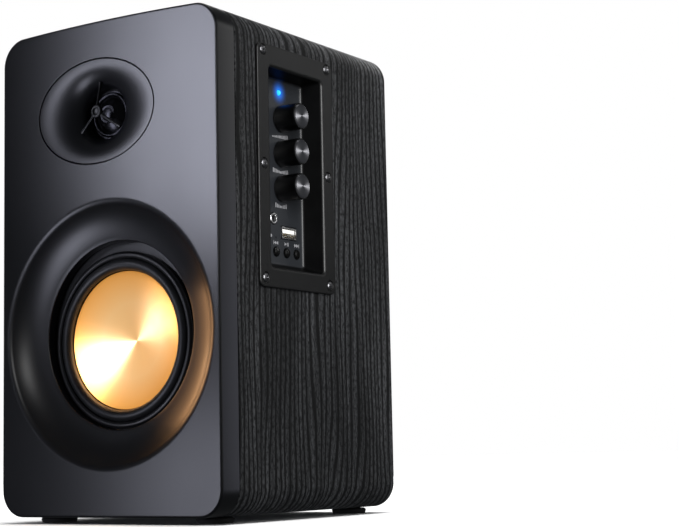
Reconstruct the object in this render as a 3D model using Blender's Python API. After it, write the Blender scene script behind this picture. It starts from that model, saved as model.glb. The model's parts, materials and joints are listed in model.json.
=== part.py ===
"""Powered bookshelf speaker with a side control panel, as separate solids.

The cabinet frame has x to the right seen from the front, y as the depth behind the
front face, and z up from the cabinet's underside. One empty carries that frame to the
place where the origin is the middle of the whole object's footprint.
"""

import math

import bmesh
import bpy

MM = 0.001
GAP = 0.3 * MM  # left between pieces that touch

# Cabinet
WIDTH = 143 * MM
HEIGHT = 250 * MM
DEPTH = 154.7 * MM
CORNER_RADIUS = 13.7 * MM
TOP_CROWN = 1.8 * MM  # how far the top's middle rises above its ends
WALL = 9 * MM
SIDE = WIDTH / 2
BAFFLE = 14 * MM
BAFFLE_EDGE = 1.2 * MM
BOARD = 9 * MM
FOOT_HEIGHT = 3.2 * MM
FOOT_RADIUS = 9.4 * MM
FOOT_X = 51 * MM
FOOT_DEPTHS = (21 * MM, 140 * MM)

# Woofer, measured from its centre; it sits a little low in the round bowl
BOWL_Z = 91 * MM
WOOFER = (0, 0.8 * MM, 88.6 * MM)
BOWL_RADIUS = 67.6 * MM
BOWL_THROAT = 47.8 * MM
BOWL_DEPTH = 9.4 * MM
CONE_RADIUS = 35 * MM
CONE_RIM = 14.2 * MM
CONE_APEX = 22.8 * MM
CONE_SHEET = 1.0 * MM
ROLL_CENTRE = 38.4 * MM  # the surround's half roll: radius of its centre line
ROLL_DEPTH = 13.2 * MM
ROLL_RADIUS = 3.0 * MM
ROLL_SHEET = 0.7 * MM
MOTOR_DEPTH = 37.4 * MM  # front of the woofer's top plate

# Tweeter
TWEETER_X = -7 * MM
TWEETER_Z = 205 * MM
WAVEGUIDE_HALF = (38.5 * MM, 27 * MM)
THROAT_RADIUS = 13.5 * MM
HORN_DEPTH = 10 * MM
DOME_RADIUS = 9.5 * MM
DOME_BASE = 12.5 * MM
LEG_TURN = math.radians(125)  # from the upright leg of the phase plug to each lower one

# Control panel on the +X side: depth and height limits of its outlines
FLANGE = ((31.3 * MM, 112 * MM), (98 * MM, 235.5 * MM))
OPENING = ((39.8 * MM, 120.9 * MM), (89.7 * MM, 225.7 * MM))
FLANGE_THICKNESS = 1.2 * MM
RECESS = 11.6 * MM  # floor below the cabinet's side
PANEL_WALL = 1.2 * MM
PANEL_FLOOR = 2 * MM
PANEL_SCREW_DEPTHS = (36 * MM, 93 * MM)
PANEL_SCREW_HEIGHTS = (116.6 * MM, 174 * MM, 232 * MM)
KNOB_RADIUS = 6.9 * MM
KNOB_LENGTH = 13.8 * MM
CAP_RISE = 0.45 * MM  # of the metal cap above the knob's end
KNOB_DEPTH = 68 * MM
KNOB_HEIGHTS = {"volume": 202.9 * MM, "treble": 184.4 * MM, "bass": 166.2 * MM}
SHAFT_RADIUS = 3 * MM
LED_PLACE = (67.7 * MM, 217 * MM)
AUX_PLACE = (61 * MM, 150 * MM)
USB_PLACE = (74.7 * MM, 143.5 * MM)
USB_SIZE = (13.2 * MM, 6.2 * MM)
BUTTON_HEIGHT = 133 * MM
BUTTON_DEPTHS = {"previous": 63.1 * MM, "play": 72.3 * MM, "next": 81.3 * MM}
BUTTON_RADIUS = 2.5 * MM
CONTROL_BOARD_X = 45.7 * MM
CIRCUIT_THICKNESS = 1.6 * MM  # of both circuit boards

# Rear
PORT_Z = 198 * MM
PORT_RADIUS = 17.5 * MM
PORT_LENGTH = 72 * MM
PLATE_CENTRE_Z = 72 * MM
PLATE_HALF = 58 * MM
PLATE_THICKNESS = 1.5 * MM
PLATE_SCREW = 54 * MM
LINE_IN_PLACE = (-32 * MM, 108 * MM)
LINE_IN_SPACING = 14 * MM
TERMINAL_PLACE = (24 * MM, 104 * MM)
TERMINAL_SIZE = (44 * MM, 26 * MM)
LEVER_SPACING = 20 * MM
LEVER_SIZE = (12 * MM, 3 * MM, 13 * MM)
INLET_PLACE = (-30 * MM, 36 * MM)
SWITCH_PLACE = (28 * MM, 36 * MM)
SWITCH_SIZE = (14 * MM, 20 * MM)
SWITCH_TILT = math.radians(8)
JACK_REACH = 9.5 * MM

# The front face, the feet and the farthest pieces on the side and rear set the box
SIDE_REACH = SIDE - RECESS + KNOB_LENGTH + CAP_RISE
REAR_FACE = DEPTH + GAP + PLATE_THICKNESS
REAR_REACH = REAR_FACE + JACK_REACH
ORIGIN = ((SIDE - SIDE_REACH) / 2, -REAR_REACH / 2, FOOT_HEIGHT)

# Directions that a piece's own +Z can face
UP = (0, 0, 0)
FRONT = (math.pi / 2, 0, 0)
REAR = (-math.pi / 2, 0, 0)
RIGHT = (0, math.pi / 2, 0)

for old in list(bpy.data.objects):
    bpy.data.objects.remove(old, do_unlink=True)

frame = bpy.data.objects.new("cabinet_frame", None)
frame.location = ORIGIN
bpy.context.scene.collection.objects.link(frame)


def material(name, colour, roughness, metallic=0.0):
    """A plain Principled material."""
    made = bpy.data.materials.new(name)
    made.use_nodes = True
    shader = made.node_tree.nodes["Principled BSDF"]
    shader.inputs["Base Color"].default_value = (*colour, 1)
    shader.inputs["Roughness"].default_value = roughness
    shader.inputs["Metallic"].default_value = metallic
    return made


PAINT = material("baffle_paint", (0.06, 0.062, 0.07), 0.42)
VINYL = material("ash_vinyl", (0.05, 0.05, 0.052), 0.55)
FIBREBOARD = material("fibreboard", (0.42, 0.3, 0.19), 0.85)
PANEL = material("panel_plastic", (0.08, 0.08, 0.085), 0.45)
BLACK = material("black_plastic", (0.02, 0.02, 0.022), 0.4)
RUBBER = material("rubber", (0.02, 0.02, 0.02), 0.7)
GOLD = material("gold_cone", (0.83, 0.6, 0.3), 0.28, 1.0)
DOME = material("dome_film", (0.12, 0.12, 0.13), 0.3, 0.6)
CLOTH = material("spider_cloth", (0.5, 0.33, 0.14), 0.9)
STEEL = material("steel", (0.55, 0.55, 0.56), 0.35, 1.0)
FERRITE = material("ferrite", (0.06, 0.06, 0.065), 0.6)
COPPER = material("copper", (0.7, 0.35, 0.2), 0.35, 1.0)
ALUMINIUM = material("aluminium", (0.75, 0.76, 0.78), 0.25, 1.0)
LENS = material("led_lens", (0.1, 0.35, 1.0), 0.15)
BOARD_GREEN = material("circuit_board", (0.03, 0.2, 0.08), 0.5)
LEVER_RED = material("lever_red", (0.5, 0.02, 0.02), 0.4)


def place(name, mesh, paint, at, facing=UP):
    """Give a mesh its object, material and place in the cabinet frame."""
    made = bpy.data.objects.new(name, mesh)
    made.parent = frame
    made.location = at
    made.rotation_euler = facing
    if paint and not mesh.materials:
        mesh.materials.append(paint)
    mesh.shade_smooth()
    mesh.set_sharp_from_angle(angle=math.radians(35))
    bpy.context.scene.collection.objects.link(made)
    return made


def to_mesh(name, shape):
    """Turn a bmesh into a mesh whose faces point out."""
    bmesh.ops.recalc_face_normals(shape, faces=shape.faces)
    mesh = bpy.data.meshes.new(name)
    shape.to_mesh(mesh)
    shape.free()
    return mesh


def turned_mesh(name, profile, segments, loop=False):
    """Spin (radius, height) points round +Z; loop closes the profile into a ring's section."""
    shape = bmesh.new()
    points = [shape.verts.new((radius, 0, height)) for radius, height in profile]
    edges = [shape.edges.new(pair) for pair in zip(points, points[1:])]
    if loop:
        edges.append(shape.edges.new((points[-1], points[0])))
    bmesh.ops.spin(
        shape,
        geom=points + edges,
        cent=(0, 0, 0),
        axis=(0, 0, 1),
        angle=2 * math.pi,
        steps=segments,
        use_merge=True,
    )
    bmesh.ops.remove_doubles(shape, verts=shape.verts, dist=1e-6)
    return to_mesh(name, shape)


def turned(name, profile, paint, at, facing=UP, segments=32, loop=False):
    """A turned piece."""
    return place(name, turned_mesh(name, profile, segments, loop), paint, at, facing)


def lofted(name, loops, paint, at=(0, 0, 0), facing=UP, ring=False):
    """Join loops of equally many points; ring joins the last to the first, else both ends are capped."""
    shape = bmesh.new()
    rows = [[shape.verts.new(point) for point in loop] for loop in loops]
    pairs = list(zip(rows, rows[1:]))
    if ring:
        pairs.append((rows[-1], rows[0]))
    else:
        shape.faces.new(rows[0])
        shape.faces.new(rows[-1])
    for near, far in pairs:
        for i in range(len(near)):
            j = (i + 1) % len(near)
            shape.faces.new((near[i], near[j], far[j], far[i]))
    return place(name, to_mesh(name, shape), paint, at, facing)


def box_mesh(name, size, bevel=0.0):
    """A box centred on its own origin, with its edges bevelled."""
    shape = bmesh.new()
    bmesh.ops.create_cube(shape, size=1)
    bmesh.ops.scale(shape, vec=size, verts=shape.verts)
    if bevel:
        bmesh.ops.bevel(
            shape,
            geom=list(shape.edges),
            offset=bevel,
            segments=1,
            affect="EDGES",
            profile=0.5,
        )
    return to_mesh(name, shape)


def box(name, low, high, paint, bevel=0.0):
    """A box between two corners in the cabinet frame."""
    size = [b - a for a, b in zip(low, high)]
    centre = [(a + b) / 2 for a, b in zip(low, high)]
    return place(name, box_mesh(name, size, bevel), paint, centre)


def boolean(target, other, operation):
    """Add one Boolean whose other operand is kept out of the model."""
    other.hide_render = True
    other.display_type = "WIRE"
    modifier = target.modifiers.new(other.name, "BOOLEAN")
    modifier.operation = operation
    modifier.object = other


def cut(target, *cutters):
    """Cut each cutter out of the target."""
    for cutter in cutters:
        boolean(target, cutter, "DIFFERENCE")


def join(target, *extras):
    """Make each extra one body with the target."""
    for extra in extras:
        boolean(target, extra, "UNION")


def rod(name, radius, at, facing, low, high, segments=16):
    """A plain cylinder used as an operand, from low to high along its facing."""
    profile = [(0, high), (radius, high), (radius, low), (0, low)]
    return turned(name, profile, None, at, facing, segments)


def arc(centre, radius, start, end, steps):
    """Points of an arc between two angles in degrees."""
    angles = [math.radians(start + (end - start) * i / steps) for i in range(steps + 1)]
    return [
        (centre[0] + radius * math.cos(angle), centre[1] + radius * math.sin(angle))
        for angle in angles
    ]


def rounded_outline(low, high, radius, steps=2):
    """A rounded rectangle's points, counter-clockwise."""
    corners = (
        ((high[0] - radius, low[1] + radius), -90),
        ((high[0] - radius, high[1] - radius), 0),
        ((low[0] + radius, high[1] - radius), 90),
        ((low[0] + radius, low[1] + radius), 180),
    )
    points = []
    for centre, start in corners:
        points += arc(centre, radius, start, start + 90, steps)
    return points


def grown(limits, amount):
    """Both corners of a rectangle moved out by an amount."""
    (a, b), (c, d) = limits
    return (a - amount, b - amount), (c + amount, d + amount)


def cabinet_loop(inset, depth):
    """The cabinet's outline, moved in by an inset, at a depth: round corners and a crowned top."""
    half = SIDE - inset
    radius = max(CORNER_RADIUS - inset, 3 * MM)
    corner_steps = 5
    points = rounded_outline((-half, inset), (half, HEIGHT - inset), radius, corner_steps)
    first_top = 2 * corner_steps + 1  # the last point before the top's straight run
    left, right = points[first_top + 1][0], points[first_top][0]
    steps = 6
    top = [(right + (left - right) * i / steps, HEIGHT - inset) for i in range(1, steps)]
    points = points[: first_top + 1] + top + points[first_top + 1 :]
    loop = []
    for x, z in points:
        crown = TOP_CROWN * (1 - (x / half) ** 2) if z > HEIGHT / 2 else 0
        loop.append((x, depth, z + crown))
    return loop


def ellipse_loop(half_x, half_z, height, segments=36):
    """An ellipse in a front-facing piece's own frame."""
    turns = [2 * math.pi * i / segments for i in range(segments)]
    return [(half_x * math.cos(a), half_z * math.sin(a), height) for a in turns]


def panel_loop(limits, radius, x):
    """A rounded rectangle of depth and height on a plane that faces +X."""
    return [(x, y, z) for y, z in rounded_outline(*limits, radius)]


def make_cabinet():
    """The wrapped shell, the front and driver boards, the rear board and the feet."""
    front, back = BAFFLE + GAP, DEPTH
    shell = lofted(
        "cabinet_shell",
        [
            cabinet_loop(0, front),
            cabinet_loop(0, back - 0.6 * MM),
            cabinet_loop(0.6 * MM, back),
            cabinet_loop(WALL, back),
            cabinet_loop(WALL, front),
        ],
        VINYL,
        ring=True,
    )
    body = grown(OPENING, -0.2 * MM)
    cut(
        shell,
        lofted(
            "side_window",
            [panel_loop(body, 2 * MM, SIDE + 5 * MM), panel_loop(body, 2 * MM, SIDE - 15 * MM)],
            None,
        ),
    )
    for i, (y, z) in enumerate(panel_screw_places()):
        hole = rod(f"panel_pilot_{i}", 1.3 * MM, (SIDE, y, z), RIGHT, -8 * MM, 2 * MM, 8)
        cut(shell, hole)

    baffle = lofted(
        "front_baffle",
        [
            cabinet_loop(BAFFLE_EDGE, 0),
            cabinet_loop(0.3 * BAFFLE_EDGE, 0.3 * BAFFLE_EDGE),
            cabinet_loop(0, BAFFLE_EDGE),
            cabinet_loop(0, BAFFLE),
        ],
        PAINT,
    )
    lip = arc((BOWL_RADIUS + 1.2 * MM, -4 * MM), 4 * MM, 90, 150, 3)
    bowl = [(0, 2 * MM), (BOWL_RADIUS + 1.2 * MM, 2 * MM)]
    bowl += lip
    bowl += [(BOWL_THROAT, -BOWL_DEPTH), (BOWL_THROAT, -BAFFLE - 2 * MM), (0, -BAFFLE - 2 * MM)]
    hole = [half + GAP for half in WAVEGUIDE_HALF]
    cut(
        baffle,
        turned("bowl_cutter", bowl, None, (0, 0, BOWL_Z), FRONT, 48),
        lofted(
            "waveguide_cutter",
            [ellipse_loop(*hole, 2 * MM), ellipse_loop(*hole, -BAFFLE - 2 * MM)],
            None,
            (TWEETER_X, 0, TWEETER_Z),
            FRONT,
        ),
    )

    inset = WALL + GAP
    board_front = BAFFLE + GAP
    board = lofted(
        "driver_board",
        [cabinet_loop(inset, board_front), cabinet_loop(inset, board_front + BOARD)],
        FIBREBOARD,
    )
    tweeter = (TWEETER_X, 0, TWEETER_Z)
    cut(
        board,
        rod("woofer_rebate", 54.6 * MM, WOOFER, FRONT, -17 * MM, -10 * MM, 32),
        rod("woofer_hole", 47.6 * MM, WOOFER, FRONT, -30 * MM, -10 * MM, 32),
        rod("tweeter_hole", 24.6 * MM, tweeter, FRONT, -30 * MM, -10 * MM, 24),
    )

    rear = lofted(
        "rear_panel",
        [cabinet_loop(inset, DEPTH - BOARD), cabinet_loop(inset, DEPTH)],
        FIBREBOARD,
    )
    half = PLATE_HALF - 8 * MM
    window = box(
        "amp_window",
        (-half, DEPTH - 20 * MM, PLATE_CENTRE_Z - half),
        (half, DEPTH + 5 * MM, PLATE_CENTRE_Z + half),
        None,
    )
    port = (0, DEPTH, PORT_Z)
    cut(rear, window, rod("port_hole", 20 * MM, port, REAR, -20 * MM, 5 * MM, 20))
    for i, (x, z) in enumerate(plate_screw_places()):
        cut(rear, rod(f"plate_pilot_{i}", 1.3 * MM, (x, DEPTH, z), REAR, -8 * MM, 2 * MM, 8))

    foot = [
        (0, -GAP),
        (FOOT_RADIUS - 0.8 * MM, -GAP),
        (FOOT_RADIUS, -1.2 * MM),
        (FOOT_RADIUS - 0.5 * MM, -FOOT_HEIGHT + 0.4 * MM),
        (FOOT_RADIUS - 1.2 * MM, -FOOT_HEIGHT),
        (0, -FOOT_HEIGHT),
    ]
    sides = {"left": -FOOT_X, "right": FOOT_X}
    for end, y in zip(("front", "rear"), FOOT_DEPTHS):
        for side, x in sides.items():
            turned(f"foot_{end}_{side}", foot, RUBBER, (x, y, 0), segments=16)


def scaled(profile):
    """Radius and depth in millimetres as radius and height of a front-facing turned piece."""
    return [(radius * MM, -depth * MM) for radius, depth in profile]


def make_woofer():
    """Bass driver: basket, motor, moving cone and coil, and the two flexible rings."""

    def ring(name, section, paint, segments=32):
        return turned(name, section, paint, WOOFER, FRONT, segments, loop=True)

    trim = [(42.2, 11.4), (43.2, 10.7), (44.3, 10.9), (45.0, 12.0), (45.0, 12.9), (41.9, 12.9)]
    ring("woofer_trim_ring", scaled(trim), BLACK)

    roll = (ROLL_CENTRE, -ROLL_DEPTH)
    outside = arc(roll, ROLL_RADIUS, 180, 0, 5)
    inside = arc(roll, ROLL_RADIUS - ROLL_SHEET, 0, 180, 4)
    glued_rim = scaled([(45.2, 13.4), (45.2, 14.1), (40.7, 14.1)])
    ring("woofer_surround", outside + glued_rim + inside, RUBBER)

    section = [
        (44.2, 14.5),
        (54.0, 14.5),
        (54.0, 16.4),
        (46.6, 16.4),
        (37.0, 28.6),
        (32.0, 37.0),
        (18.0, 37.0),
        (18.0, 35.6),
        (30.6, 35.6),
        (33.6, 30.2),
        (32.0, 30.2),
        (32.0, 28.8),
        (35.2, 28.8),
        (44.2, 17.0),
    ]
    basket = ring("woofer_basket", scaled(section), BLACK, 24)
    windows = 6
    for i in range(windows):
        turn = 2 * math.pi * i / windows
        reach = 46 * MM
        x, y, z = WOOFER
        at = (x + reach * math.sin(turn), y + 22.6 * MM, z + reach * math.cos(turn))
        name = f"basket_window_{i}"
        size = (20 * MM, 24 * MM, 8.4 * MM)
        cut(basket, place(name, box_mesh(name, size), None, at, (math.pi / 2, turn, 0)))

    steps = 4
    front = []
    for i in range(steps + 1):
        inward = i / steps
        deeper = (CONE_APEX - CONE_RIM) * (1 - (1 - inward) ** 1.3)
        front.append((CONE_RADIUS * (1 - inward), -CONE_RIM - deeper))
    back = [(radius, height - CONE_SHEET) for radius, height in front]
    turned("woofer_cone", front[::-1] + back, GOLD, WOOFER, FRONT, 32)

    coil = [(12.4, 22.2), (13.1, 22.2), (13.1, 34.0), (13.7, 34.0), (13.7, 42.0), (12.4, 42.0)]
    ring("woofer_voice_coil", scaled(coil), COPPER, 24)

    waves = 3
    inner, outer = 13.5, 31.6
    count = waves * 4
    wave = []
    for i in range(count + 1):
        radius = inner + (outer - inner) * i / count
        wave.append((radius, 29.0 + 0.9 * math.sin(2 * math.pi * waves * i / count)))
    cloth = [(radius, depth + 0.6) for radius, depth in wave]
    ring("woofer_spider", scaled(wave + cloth[::-1]), CLOTH, 16)

    motor = MOTOR_DEPTH / MM
    top_plate = [(14.8, motor), (28.0, motor), (28.0, motor + 5), (14.8, motor + 5)]
    ring("woofer_top_plate", scaled(top_plate), STEEL, 24)
    magnet = [(16.0, motor + 5.3), (32.0, motor + 5.3), (32.0, motor + 18), (16.0, motor + 18)]
    ring("woofer_magnet", scaled(magnet), FERRITE, 24)
    yoke = [
        (0, motor + 1.2),
        (11.5, motor + 1.2),
        (11.5, motor + 18.3),
        (29.0, motor + 18.3),
        (29.0, motor + 22),
        (0, motor + 22),
    ]
    turned("woofer_yoke", scaled(yoke), STEEL, WOOFER, FRONT, 24)


def make_tweeter():
    """Treble driver: flared insert, three-legged phase plug, dome and motor."""
    centre = (TWEETER_X, 0, TWEETER_Z)
    half_x, half_z = WAVEGUIDE_HALF
    rim = 0.6 * MM
    back = BAFFLE - GAP
    loops = [ellipse_loop(half_x, half_z, -back), ellipse_loop(half_x, half_z, -0.2 * MM)]
    steps = 5
    for i in range(steps + 1):
        turn = math.pi / 2 * i / steps
        loops.append(
            ellipse_loop(
                half_x - rim - (half_x - rim - THROAT_RADIUS) * math.sin(turn),
                half_z - rim - (half_z - rim - THROAT_RADIUS) * math.sin(turn),
                -HORN_DEPTH * (1 - math.cos(turn)),
            )
        )
    loops.append(ellipse_loop(THROAT_RADIUS, THROAT_RADIUS, -back))
    lofted("tweeter_waveguide", loops, PAINT, centre, FRONT, ring=True)

    bullet = [(0, 0.4), (2.4, 0.2), (3.3, 0.6), (3.3, 1.4), (2.6, 2.6), (1.2, 4.6), (0, 5.2)]
    plug = turned("tweeter_phase_plug", scaled(bullet), BLACK, centre, FRONT, 20)
    near, far = (1.5 * MM, 1.6 * MM), (14.8 * MM, 4.4 * MM)  # radius and depth of a leg's ends
    for i, turn in enumerate((0, LEG_TURN, -LEG_TURN)):
        slope = math.atan2(far[1] - near[1], far[0] - near[0])
        length = math.hypot(far[0] - near[0], far[1] - near[1])
        middle = (near[0] + far[0]) / 2
        depth = (near[1] + far[1]) / 2
        at = (TWEETER_X + middle * math.sin(turn), depth, TWEETER_Z + middle * math.cos(turn))
        name = f"plug_leg_{i}"
        mesh = box_mesh(name, (1.2 * MM, 1.3 * MM, length))
        join(plug, place(name, mesh, None, at, (slope, turn, 0)))

    base = DOME_BASE / MM
    radius = DOME_RADIUS / MM
    height = 3.4
    sphere = (radius**2 + height**2) / (2 * height)
    steps = 4
    edge = math.asin(radius / sphere)
    dome = []
    for i in range(steps + 1):
        turn = edge * i / steps
        dome.append((sphere * math.sin(turn), base - height + sphere * (1 - math.cos(turn))))
    dome += [(10.6, base - 0.9), (11.8, base - 0.9), (12.4, base), (12.4, base + 0.5)]
    dome += [(9.3, base + 0.5), (6.0, base - height + 2.1), (0, base - height + 0.6)]
    turned("tweeter_dome", scaled(dome), DOME, centre, FRONT, 20)

    motor = [(0, 17), (9, 17), (9, 14.3), (24, 14.3), (24, 34), (22, 36), (0, 36)]
    turned("tweeter_magnet", scaled(motor), FERRITE, centre, FRONT, 24)


def panel_screw_places():
    """Depth and height of each control panel screw."""
    return [(y, z) for z in PANEL_SCREW_HEIGHTS for y in PANEL_SCREW_DEPTHS]


def plate_screw_places():
    """Across and height of each amplifier plate screw."""
    return [
        (x, PLATE_CENTRE_Z + z)
        for z in (-PLATE_SCREW, PLATE_SCREW)
        for x in (-PLATE_SCREW, PLATE_SCREW)
    ]


def screw_mesh(name):
    """A pan head screw along +Z whose head rests on height 0."""
    head = [(0, 1.05), (1.1, 0.95), (1.9, 0.6), (2.3, 0.0), (0.95, 0.0), (0.95, -6.0), (0, -7.0)]
    return turned_mesh(name, [(radius * MM, height * MM) for radius, height in head], 10)


def make_control_panel():
    """Moulded side tub, its screws, and everything that is worked or plugged in there."""
    floor = SIDE - RECESS
    face = SIDE + GAP + FLANGE_THICKNESS
    flange_back = SIDE + GAP
    edge = 1.4 * MM
    (low_y, low_z), (high_y, high_z) = OPENING
    neck = grown(OPENING, -edge)
    wall_foot = ((low_y + 2.4 * MM, low_z + 5 * MM), (high_y - 2.8 * MM, high_z - 2.2 * MM))
    floor_edge = grown(wall_foot, -edge)
    panel = lofted(
        "control_panel",
        [
            panel_loop(floor_edge, 1.2 * MM, floor),
            panel_loop(wall_foot, 1.6 * MM, floor + edge),
            panel_loop(neck, 2 * MM, face - edge),
            panel_loop(grown(OPENING, -0.4 * edge), 2.6 * MM, face - 0.4 * edge),
            panel_loop(OPENING, 3 * MM, face),
            panel_loop(grown(FLANGE, -0.4 * MM), 3.2 * MM, face),
            panel_loop(FLANGE, 3.6 * MM, face - 0.4 * MM),
            panel_loop(FLANGE, 3.6 * MM, flange_back),
            panel_loop(grown(neck, PANEL_WALL - GAP), 2.6 * MM, flange_back),
            panel_loop(grown(wall_foot, PANEL_WALL), 2.6 * MM, floor - PANEL_FLOOR),
        ],
        PANEL,
    )
    screw = screw_mesh("panel_screw")
    for i, (y, z) in enumerate(panel_screw_places()):
        dimple = [(0, 1), (3.1, 1), (2.75, -0.75), (1.3, -0.75), (1.3, -4), (0, -4)]
        section = [(radius * MM, height * MM) for radius, height in dimple]
        cut(panel, turned(f"dimple_{i}", section, None, (face, y, z), RIGHT, 10))
        place(f"panel_screw_{i + 1}", screw, STEEL, (face - 0.45 * MM, y, z), RIGHT)

    for name, z in KNOB_HEIGHTS.items():
        make_knob(name, (floor, KNOB_DEPTH, z), panel)
    for name, y in BUTTON_DEPTHS.items():
        make_button(name, (floor, y, BUTTON_HEIGHT), panel)

    lens = [(0, 0.7), (0.8, 0.5), (1.4, -0.1), (1.45, -8.6), (1.9, -8.6), (1.9, -11.8), (0, -11.8)]
    at = (floor, *LED_PLACE)
    turned("status_led", [(r * MM, h * MM) for r, h in lens], LENS, at, RIGHT, 16)
    cut(panel, rod("led_hole", 1.8 * MM, at, RIGHT, -4 * MM, 2 * MM, 12))

    make_aux_jack((floor, *AUX_PLACE), panel)
    make_usb_port(floor, panel)

    back = CONTROL_BOARD_X
    front = back + CIRCUIT_THICKNESS
    board = box("control_board", (back, 45 * MM, 129 * MM), (front, 88 * MM, 221 * MM), BOARD_GREEN)
    for name, y in BUTTON_DEPTHS.items():
        low = (front - 0.5 * MM, y - 3 * MM, BUTTON_HEIGHT - 3 * MM)
        high = (front + 3.5 * MM, y + 3 * MM, BUTTON_HEIGHT + 3 * MM)
        join(board, box(f"tact_switch_{name}", low, high, None))


def make_knob(name, at, panel):
    """One rotary control: knob with its shaft, metal cap, potentiometer and the panel's hole."""
    length = KNOB_LENGTH / MM
    radius = KNOB_RADIUS / MM
    shaft = SHAFT_RADIUS / MM
    knob = [
        (0, length - 3.2),
        (3.3, length - 3.2),
        (3.3, length - 1.3),
        (radius - 0.5, length - 1.3),
        (radius, length - 1.7),
        (radius, 1.0),
        (radius - 0.6, 0.4),
        (shaft, 0.4),
        (shaft, -8.6),
        (0, -8.6),
    ]
    rise = CAP_RISE / MM
    cap = [
        (0, length + rise),
        (radius - 1.1, length + rise),
        (radius - 0.3, length - 0.2),
        (radius - 0.3, length - 1.0),
        (3.0, length - 1.0),
        (3.0, length - 2.9),
        (0, length - 2.9),
    ]
    turned(f"{name}_knob", [(r * MM, h * MM) for r, h in knob], BLACK, at, RIGHT, 16)
    turned(f"{name}_knob_cap", [(r * MM, h * MM) for r, h in cap], ALUMINIUM, at, RIGHT, 16)
    cut(panel, rod(f"{name}_shaft_hole", 4.6 * MM, at, RIGHT, -4 * MM, 2 * MM, 16))

    x, y, z = at
    back = CONTROL_BOARD_X + CIRCUIT_THICKNESS + GAP
    case = box(
        f"{name}_potentiometer",
        (back, y - 6 * MM, z - 6 * MM),
        (x - PANEL_FLOOR - 0.6 * MM, y + 6 * MM, z + 6 * MM),
        STEEL,
        0.5 * MM,
    )
    join(case, rod(f"{name}_bushing", 4.2 * MM, at, RIGHT, -3.5 * MM, -0.4 * MM, 16))
    cut(case, rod(f"{name}_shaft_bore", 3.35 * MM, at, RIGHT, -9.4 * MM, 2 * MM, 16))


def make_button(name, at, panel):
    """One push button, held behind the panel by its collar, and the panel's hole."""
    radius = BUTTON_RADIUS / MM
    button = [
        (0, 1.3),
        (1.3, 1.2),
        (2.1, 0.9),
        (radius, 0.3),
        (radius, -2.9),
        (3.4, -2.9),
        (3.4, -3.7),
        (1.4, -3.7),
        (1.4, -7.9),
        (0, -7.9),
    ]
    turned(f"{name}_button", [(r * MM, h * MM) for r, h in button], BLACK, at, RIGHT, 12)
    hole = rod(f"{name}_button_hole", BUTTON_RADIUS + GAP, at, RIGHT, -4 * MM, 2 * MM, 12)
    cut(panel, hole)


def make_aux_jack(at, panel):
    """3.5 mm line socket with a metal nose ring."""
    x, y, z = at
    back = CONTROL_BOARD_X + CIRCUIT_THICKNESS + GAP
    jack = box(
        "aux_jack",
        (back, y - 4.5 * MM, z - 5 * MM),
        (x - PANEL_FLOOR - 0.4 * MM, y + 4.5 * MM, z + 5 * MM),
        BLACK,
        0.4 * MM,
    )
    join(jack, rod("aux_nose", 3 * MM, at, RIGHT, -4 * MM, 0.6 * MM, 20))
    cut(jack, rod("aux_bore", 1.75 * MM, at, RIGHT, -11 * MM, 2 * MM, 16))
    cut(panel, rod("aux_hole", 3.3 * MM, at, RIGHT, -4 * MM, 2 * MM, 20))


def make_usb_port(floor, panel):
    """USB socket: metal shell, open at the front, with its contact tongue."""
    y, z = USB_PLACE
    half_y, half_z = USB_SIZE[0] / 2, USB_SIZE[1] / 2
    back = CONTROL_BOARD_X + CIRCUIT_THICKNESS + GAP
    wall = 0.6 * MM
    port = box(
        "usb_port",
        (back, y - half_y, z - half_z),
        (floor + 0.2 * MM, y + half_y, z + half_z),
        STEEL,
    )
    cut(
        port,
        box(
            "usb_cavity",
            (back + 1.5 * MM, y - half_y + wall, z - half_z + wall),
            (floor + 2 * MM, y + half_y - wall, z + half_z - wall),
            None,
        ),
    )
    tongue_low = (back + 1 * MM, y - half_y + 1.3 * MM, z + 0.1 * MM)
    tongue_high = (floor - 0.8 * MM, y + half_y - 1.3 * MM, z + 1.9 * MM)
    join(port, box("usb_tongue", tongue_low, tongue_high, None))
    clear = 0.5 * MM
    hole_low = (floor - 4 * MM, y - half_y - clear, z - half_z - clear)
    hole_high = (floor + 2 * MM, y + half_y + clear, z + half_z + clear)
    cut(panel, box("usb_hole", hole_low, hole_high, None))


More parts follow.
